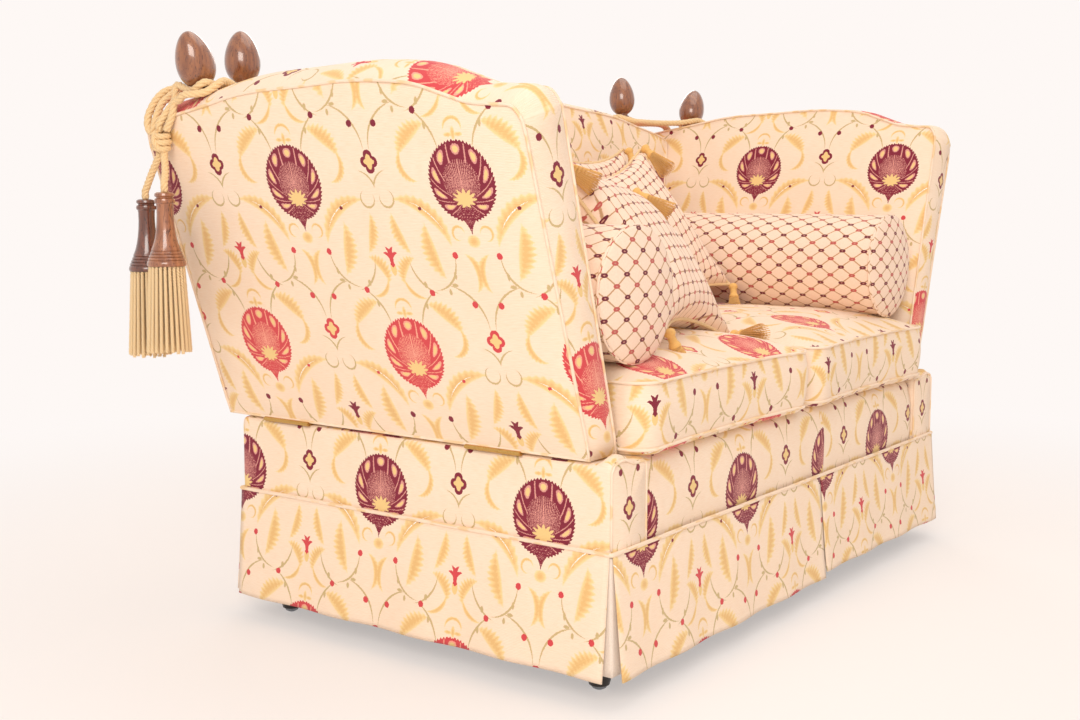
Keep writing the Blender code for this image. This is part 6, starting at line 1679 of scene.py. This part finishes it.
# %% Tails and tassels
TAIL_ROUTES = {
    "rear": [(-866.8, 391.8, 870), (-866.8, 391.8, 863.5), (-866.9, 398.3, 854.4), (-867, 407.4, 841.5),
             (-867, 415.7, 829.4), (-867.1, 422.3, 818.7), (-867.2, 428, 808.9), (-867.3, 432, 802.1),
             (-867.3, 432, 789.1)],
    "front": [(-866.8, 378.2, 870), (-866.8, 378.2, 863.5), (-869.8, 373.9, 855.9), (-874.2, 367.9, 845.3),
              (-878.5, 362.5, 835.4), (-882.9, 358.2, 827), (-887.3, 354.5, 819.3), (-890.3, 352, 814.1),
              (-890.3, 352, 801.1)],
}
for side, hand in SIDES:
    body = f"{side}_tassels"
    for where, (shift, wood) in TASSELS.items():
        top = (KNOT + shift) * (hand, 1, 1)
        profile = [(along * HEAD_LENGTH, part * HEAD_RADIUS) for along, part in HEAD]
        head = turned(f"{side}_{where}_tassel_head", top, (0, 0, -1), profile, wood, body, "walnut",
                      (f"{side}_{where}_tassel",), sharp=38)
        mesh = grow(f"{side}_{where}_fringe", FRINGE_TREE, {
            "Cords": 24, "Ring Radius": 0.0278, "Spread": 1.9, "Length": FRINGE_LENGTH,
            "Cord Radius": 0.0034, "Twists": 15.0, "Seed": 3 + (hand > 0) + 2 * (where == "rear"),
            "Thread": FRINGE})
        fringe = placed(f"{side}_{where}_fringe", mesh, body,
                        top - (0, 0, HEAD_LENGTH - 0.004))
        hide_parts(f"{side}_{where}_tassel")
        route = np.array(TAIL_ROUTES[where]) / 1000 * (hand, 1, 1)
        line = smooth_line(route, 6)
        points, faces, lay = laid_rope(line, 0.0065, 30.0)
        tail = piece(f"{side}_{where}_tail_laid", points, faces, ROPE, body, "rope", lay,
                     (f"{side}_{where}_tail",))
        length = float(run_length(line, False)[-1])
        print(tail.name, round(length * 1000), "mm,", len(mesh.polygons), "faces in its fringe")

# %% [markdown]
# ### Corner tassels
# A small gold tassel is sewn to each corner of the scatter cushions. It is the same fringe on a
# smaller ring, under a wound neck. Each hangs the way its corner lets it: down over the face
# of its cushion at the top, free at the sides, and on the seat at the bottom.

# %% Scatter tassels
NECK = [(0.0, 0.15), (0.002, 0.55), (0.006, 0.80), (0.011, 0.80), (0.0145, 0.62), (0.0165, 0.52),
        (0.0185, 0.62), (0.0205, 0.52), (0.0225, 0.62), (0.0245, 0.55), (0.0280, 0.72), (0.0330, 0.86),
        (0.0360, 0.80), (0.0362, 0.20)]


def corner_tassel(name, tip, way, body, seed):
    way = Vector([float(part) for part in way]).normalized()
    tip = Vector([float(part) for part in tip])
    piece(f"{name}_neck", *spun(tip, way), GOLD_THREAD, body, "rope")
    mesh = grow(f"{name}_threads", FRINGE_TREE, {
        "Cords": 32, "Ring Radius": 0.0094, "Spread": 24.0, "Length": 0.060, "Cord Radius": 0.0010,
        "Twists": 4.0, "Seed": seed, "Thread": GOLD_THREAD})
    turn = Vector((0, 0, -1)).rotation_difference(way)
    placed(f"{name}_threads", mesh, body, tip + way * 0.034, turn)


def spun(tip, way):
    axis = np.array(way)
    side = np.cross(axis, (0.3, 0.5, 0.81))
    side /= np.linalg.norm(side)
    other = np.cross(axis, side)
    angles = 2 * pi * np.arange(24) / 24
    rings = [np.array([np.array(tip) + axis * along + 0.0135 * part * (side * cos(a) + other * sin(a))
                       for a in angles]) for along, part in NECK]
    return plain_stack(rings)


BOTTOM_LEAN = {"back": 0.0, "middle": 0.15, "front": -0.45}
made_tassels = 0
for name, (cover, tips, centre) in SCATTERS.items():
    lowest = min(tip[2] for tip in tips)
    highest = max(tip[2] for tip in tips)
    a, b = tips[1] - tips[0], tips[3] - tips[0]
    normal = np.cross(a, b)
    normal /= np.linalg.norm(normal)
    if normal[1] > 0:
        normal = -normal
    for k, tip in enumerate(tips):
        out = (tip - centre) / np.linalg.norm(tip - centre)
        if tip[2] > highest - 0.08:
            flat = np.array((0, 0, -1.0)) - normal * -normal[2]
            way, shift = flat / np.linalg.norm(flat) * 0.93 + normal * 0.36, normal * 0.010
        elif tip[2] < lowest + 0.05:
            way, shift = (BOTTOM_LEAN[name], -1.0, 0.10), (0, 0, 0.012)
        elif name == "back":
            way, shift = (-out[0] * 0.30, 0.0, -1.0), (0, 0.015, 0)
        else:
            way, shift = (-out[0] * 0.45, -0.30, -1.0), normal * 0.008
        corner_tassel(f"{name}_corner_{k}", tip + out * 0.003 + shift, way, f"{name}_scatter", 11 + 4 * k)
        made_tassels += 1
print(made_tassels, "corner tassels")

# %% [markdown]
# ## Woodwork
# The finials are eggs, wider below the middle, on a thin dark collar. Their necks and dowels go
# down through the padding into the posts. The feet are low turned buns that end in steel domes.

# %% Finials
FINIAL_HEIGHT, FINIAL_RADIUS = 0.105, 0.0325


def egg_profile():
    collar = [(-0.074, 0.0060), (-0.0245, 0.0060), (-0.024, 0.0110), (-0.003, 0.0110), (0.0, 0.0115),
              (0.001, 0.0150), (0.003, 0.0166), (0.0055, 0.0166), (0.0068, 0.0140), (0.0075, 0.0125),
              (0.0090, 0.0125), (0.0100, 0.0140)]
    egg = []
    for angle in np.linspace(0.11 * pi, pi, 40):
        height = 0.5 - 0.5 * cos(angle)
        wide = sin(angle) * (1 + 0.20 * cos(angle)) / 1.008
        egg.append((0.0075 + (FINIAL_HEIGHT - 0.0075) * height, max(wide * FINIAL_RADIUS, 0.0002)))
    return collar + egg


for side, hand in SIDES:
    turned(f"{side}_arm_egg", (hand * -0.8225, 0.3250, 0.9697), (hand * -sin(LEAN), 0, cos(LEAN)),
           egg_profile(), EGG_WOOD, f"{side}_arm", "walnut", (f"{side}_arm_finial",), 56)
    turned(f"{side}_back_egg", (hand * -0.6460, 0.4192, 0.9907), (0, sin(BACK_RAKE), cos(BACK_RAKE)),
           egg_profile(), EGG_WOOD, "sofa", "walnut", (f"{side}_back_finial",), 56)
print("four finials turned")

# %% Feet
FOOT = [(0.0, 0.002), (0.0005, 0.0060), (0.0035, 0.0115), (0.0070, 0.0135), (0.0088, 0.0137),
        (0.0092, 0.0170), (0.014, 0.0182), (0.026, 0.0215), (0.044, 0.0262), (0.060, 0.0278),
        (0.074, 0.0268), (0.082, 0.0240), (0.086, 0.0235), (0.090, 0.0265), (0.094, 0.0280),
        (0.1037, 0.0280), (0.1037, 0.004)]
for where in ("front_left", "front_right", "rear_left", "rear_right"):
    low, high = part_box(f"{where}_foot")
    centre = ((low[0] + high[0]) / 2, (low[1] + high[1]) / 2, 0)
    foot = turned(f"{where}_turned_foot", centre, (0, 0, 1), FOOT, FOOT_WOOD, "sofa", "walnut",
                  (f"{where}_foot",), 40, 35)
    foot.data.materials.append(STEEL)
    for polygon in foot.data.polygons:
        if polygon.center[2] < 0.009:
            polygon.material_index = 1
print("four feet turned")

# %% [markdown]
# ## Inside the seat
# Under the cushions a real sofa has jute webbing tacked across the rails, coil springs tied on
# it, a canvas over the springs, and a hair-filled deck on the canvas. A thin black cloth closes
# the bottom. None of it is in the photograph, but it is what the cushions stand on.

# %% Webbing
def strap(start, end, wide, thick, bends, z):
    start, end = np.array(start, dtype=float), np.array(end, dtype=float)
    along = (end - start) / np.linalg.norm(end - start)
    across = np.array([-along[1], along[0]])
    points, faces, lay = [], [], []
    shares = np.linspace(0, 1, 61)
    length = np.linalg.norm(end - start)
    for share in shares:
        centre = start + (end - start) * share
        rise = z + bends * 0.0002 * sin(share * pi * 6)
        for side, up in ((-1, -1), (1, -1), (1, 1), (-1, 1)):
            x, y = centre + across * side * wide / 2
            points.append((x, y, rise + up * thick / 2))
    for k in range(60):
        for i in range(4):
            j = (i + 1) % 4
            faces.append((k * 4 + i, k * 4 + j, k * 4 + 4 + j, k * 4 + 4 + i))
            u0, u1 = shares[k] * length, shares[k + 1] * length
            v0, v1 = i * wide / 2, (i + 1) * wide / 2
            lay += [(u0, v0), (u0, v1), (u1, v1), (u1, v0)]
    for k, order in ((0, (0, 3, 2, 1)), (60, (0, 1, 2, 3))):
        faces.append(tuple(k * 4 + i for i in order))
        lay += [(0, 0), (0, wide), (thick, wide), (thick, 0)]
    return points, faces, lay


low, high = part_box("seat_webbing")
level = (low[2] + high[2]) / 2
parts = [strap((low[0], y), (high[0], y), 0.050, 0.0009, 1, level + 0.0004) for y in (-0.22, 0, 0.22)]
parts += [strap((x, low[1]), (x, high[1]), 0.050, 0.0009, -1, level - 0.0004)
          for x in (-0.44, -0.22, 0, 0.22, 0.44)]
points, faces, lay = join(parts)
piece("jute_webbing", points, faces, JUTE, "sofa", "jute", lay, ("seat_webbing",))
print(len(parts), "straps")

# %% [markdown]
# The canvas and the dust cover are thin cloths stretched from rail to rail. Between their tacks the edges
# scallop a little, and the canvas sags a little in the middle.

# %% Stretched cloths
def stretched(name, node, look, slot, sag):
    low, high = (np.array(corner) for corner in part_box(node))
    thick = min(0.0011, high[2] - low[2])

    def place(layer, v, u):
        pulled = 0.0012 * (1 - cos(2 * pi * u * 12)) * (v in (0, 1))
        x = low[0] + (high[0] - low[0]) * u
        y = low[1] + (high[1] - low[1]) * v + (pulled if v == 0 else -pulled)
        hang = sag * 16 * u * (1 - u) * v * (1 - v)
        return x, y, high[2] - thick * (1 - layer) - hang

    points, faces, lay = two_layers(36, 60, place, lambda p: (p[0], p[1] + p[2]))
    made = piece(name, points, faces, look, "sofa", slot, lay, (node,))
    return made


stretched("spring_canvas_cloth", "spring_canvas", JUTE, "jute", 0.0006)
stretched("dust_cover_cloth", "dust_cover", CAMBRIC, "dust_cambric", 0.0)
print("canvas and dust cover stretched")

# %% The sprung deck
low, high = (np.array(corner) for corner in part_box("seat_deck"))


def deck_place(layer, v, u):
    fall = max(0, 1 - min(u, 1 - u) / 0.05) ** 2 + max(0, 1 - min(v, 1 - v) / 0.08) ** 2
    x = low[0] + (high[0] - low[0]) * u
    y = low[1] + (high[1] - low[1]) * v
    dimple = 0.0012 * noise.noise(Vector((x * 7, y * 7, 0.3)))
    return x, y, high[2] - 0.0013 - fall * 0.014 + dimple if layer else low[2]


points, faces, lay = two_layers(34, 56, deck_place, lambda p: (p[0], p[1] + p[2]))
piece("deck_cover", points, faces, LINING, "sofa", "floral_fabric", lay, ("seat_deck",), 0.95)
print("deck covered")

# %% [markdown]
# ## Frame, springs and hinges
# These solids already have the right shape, so they keep it and get a finish: sawn beech, spring
# wire, and rolled brass.

# %% Finishes for the kept parts
KEPT = {"_rail": BEECH, "_frame": BEECH, "seat_springs": STEEL, "_leaf": BRASS}
dressed = 0
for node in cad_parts:
    for ending, look in KEPT.items():
        if node.endswith(ending):
            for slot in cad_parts[node].material_slots:
                slot.material = look
                dressed += 1
print(dressed, "slots dressed")
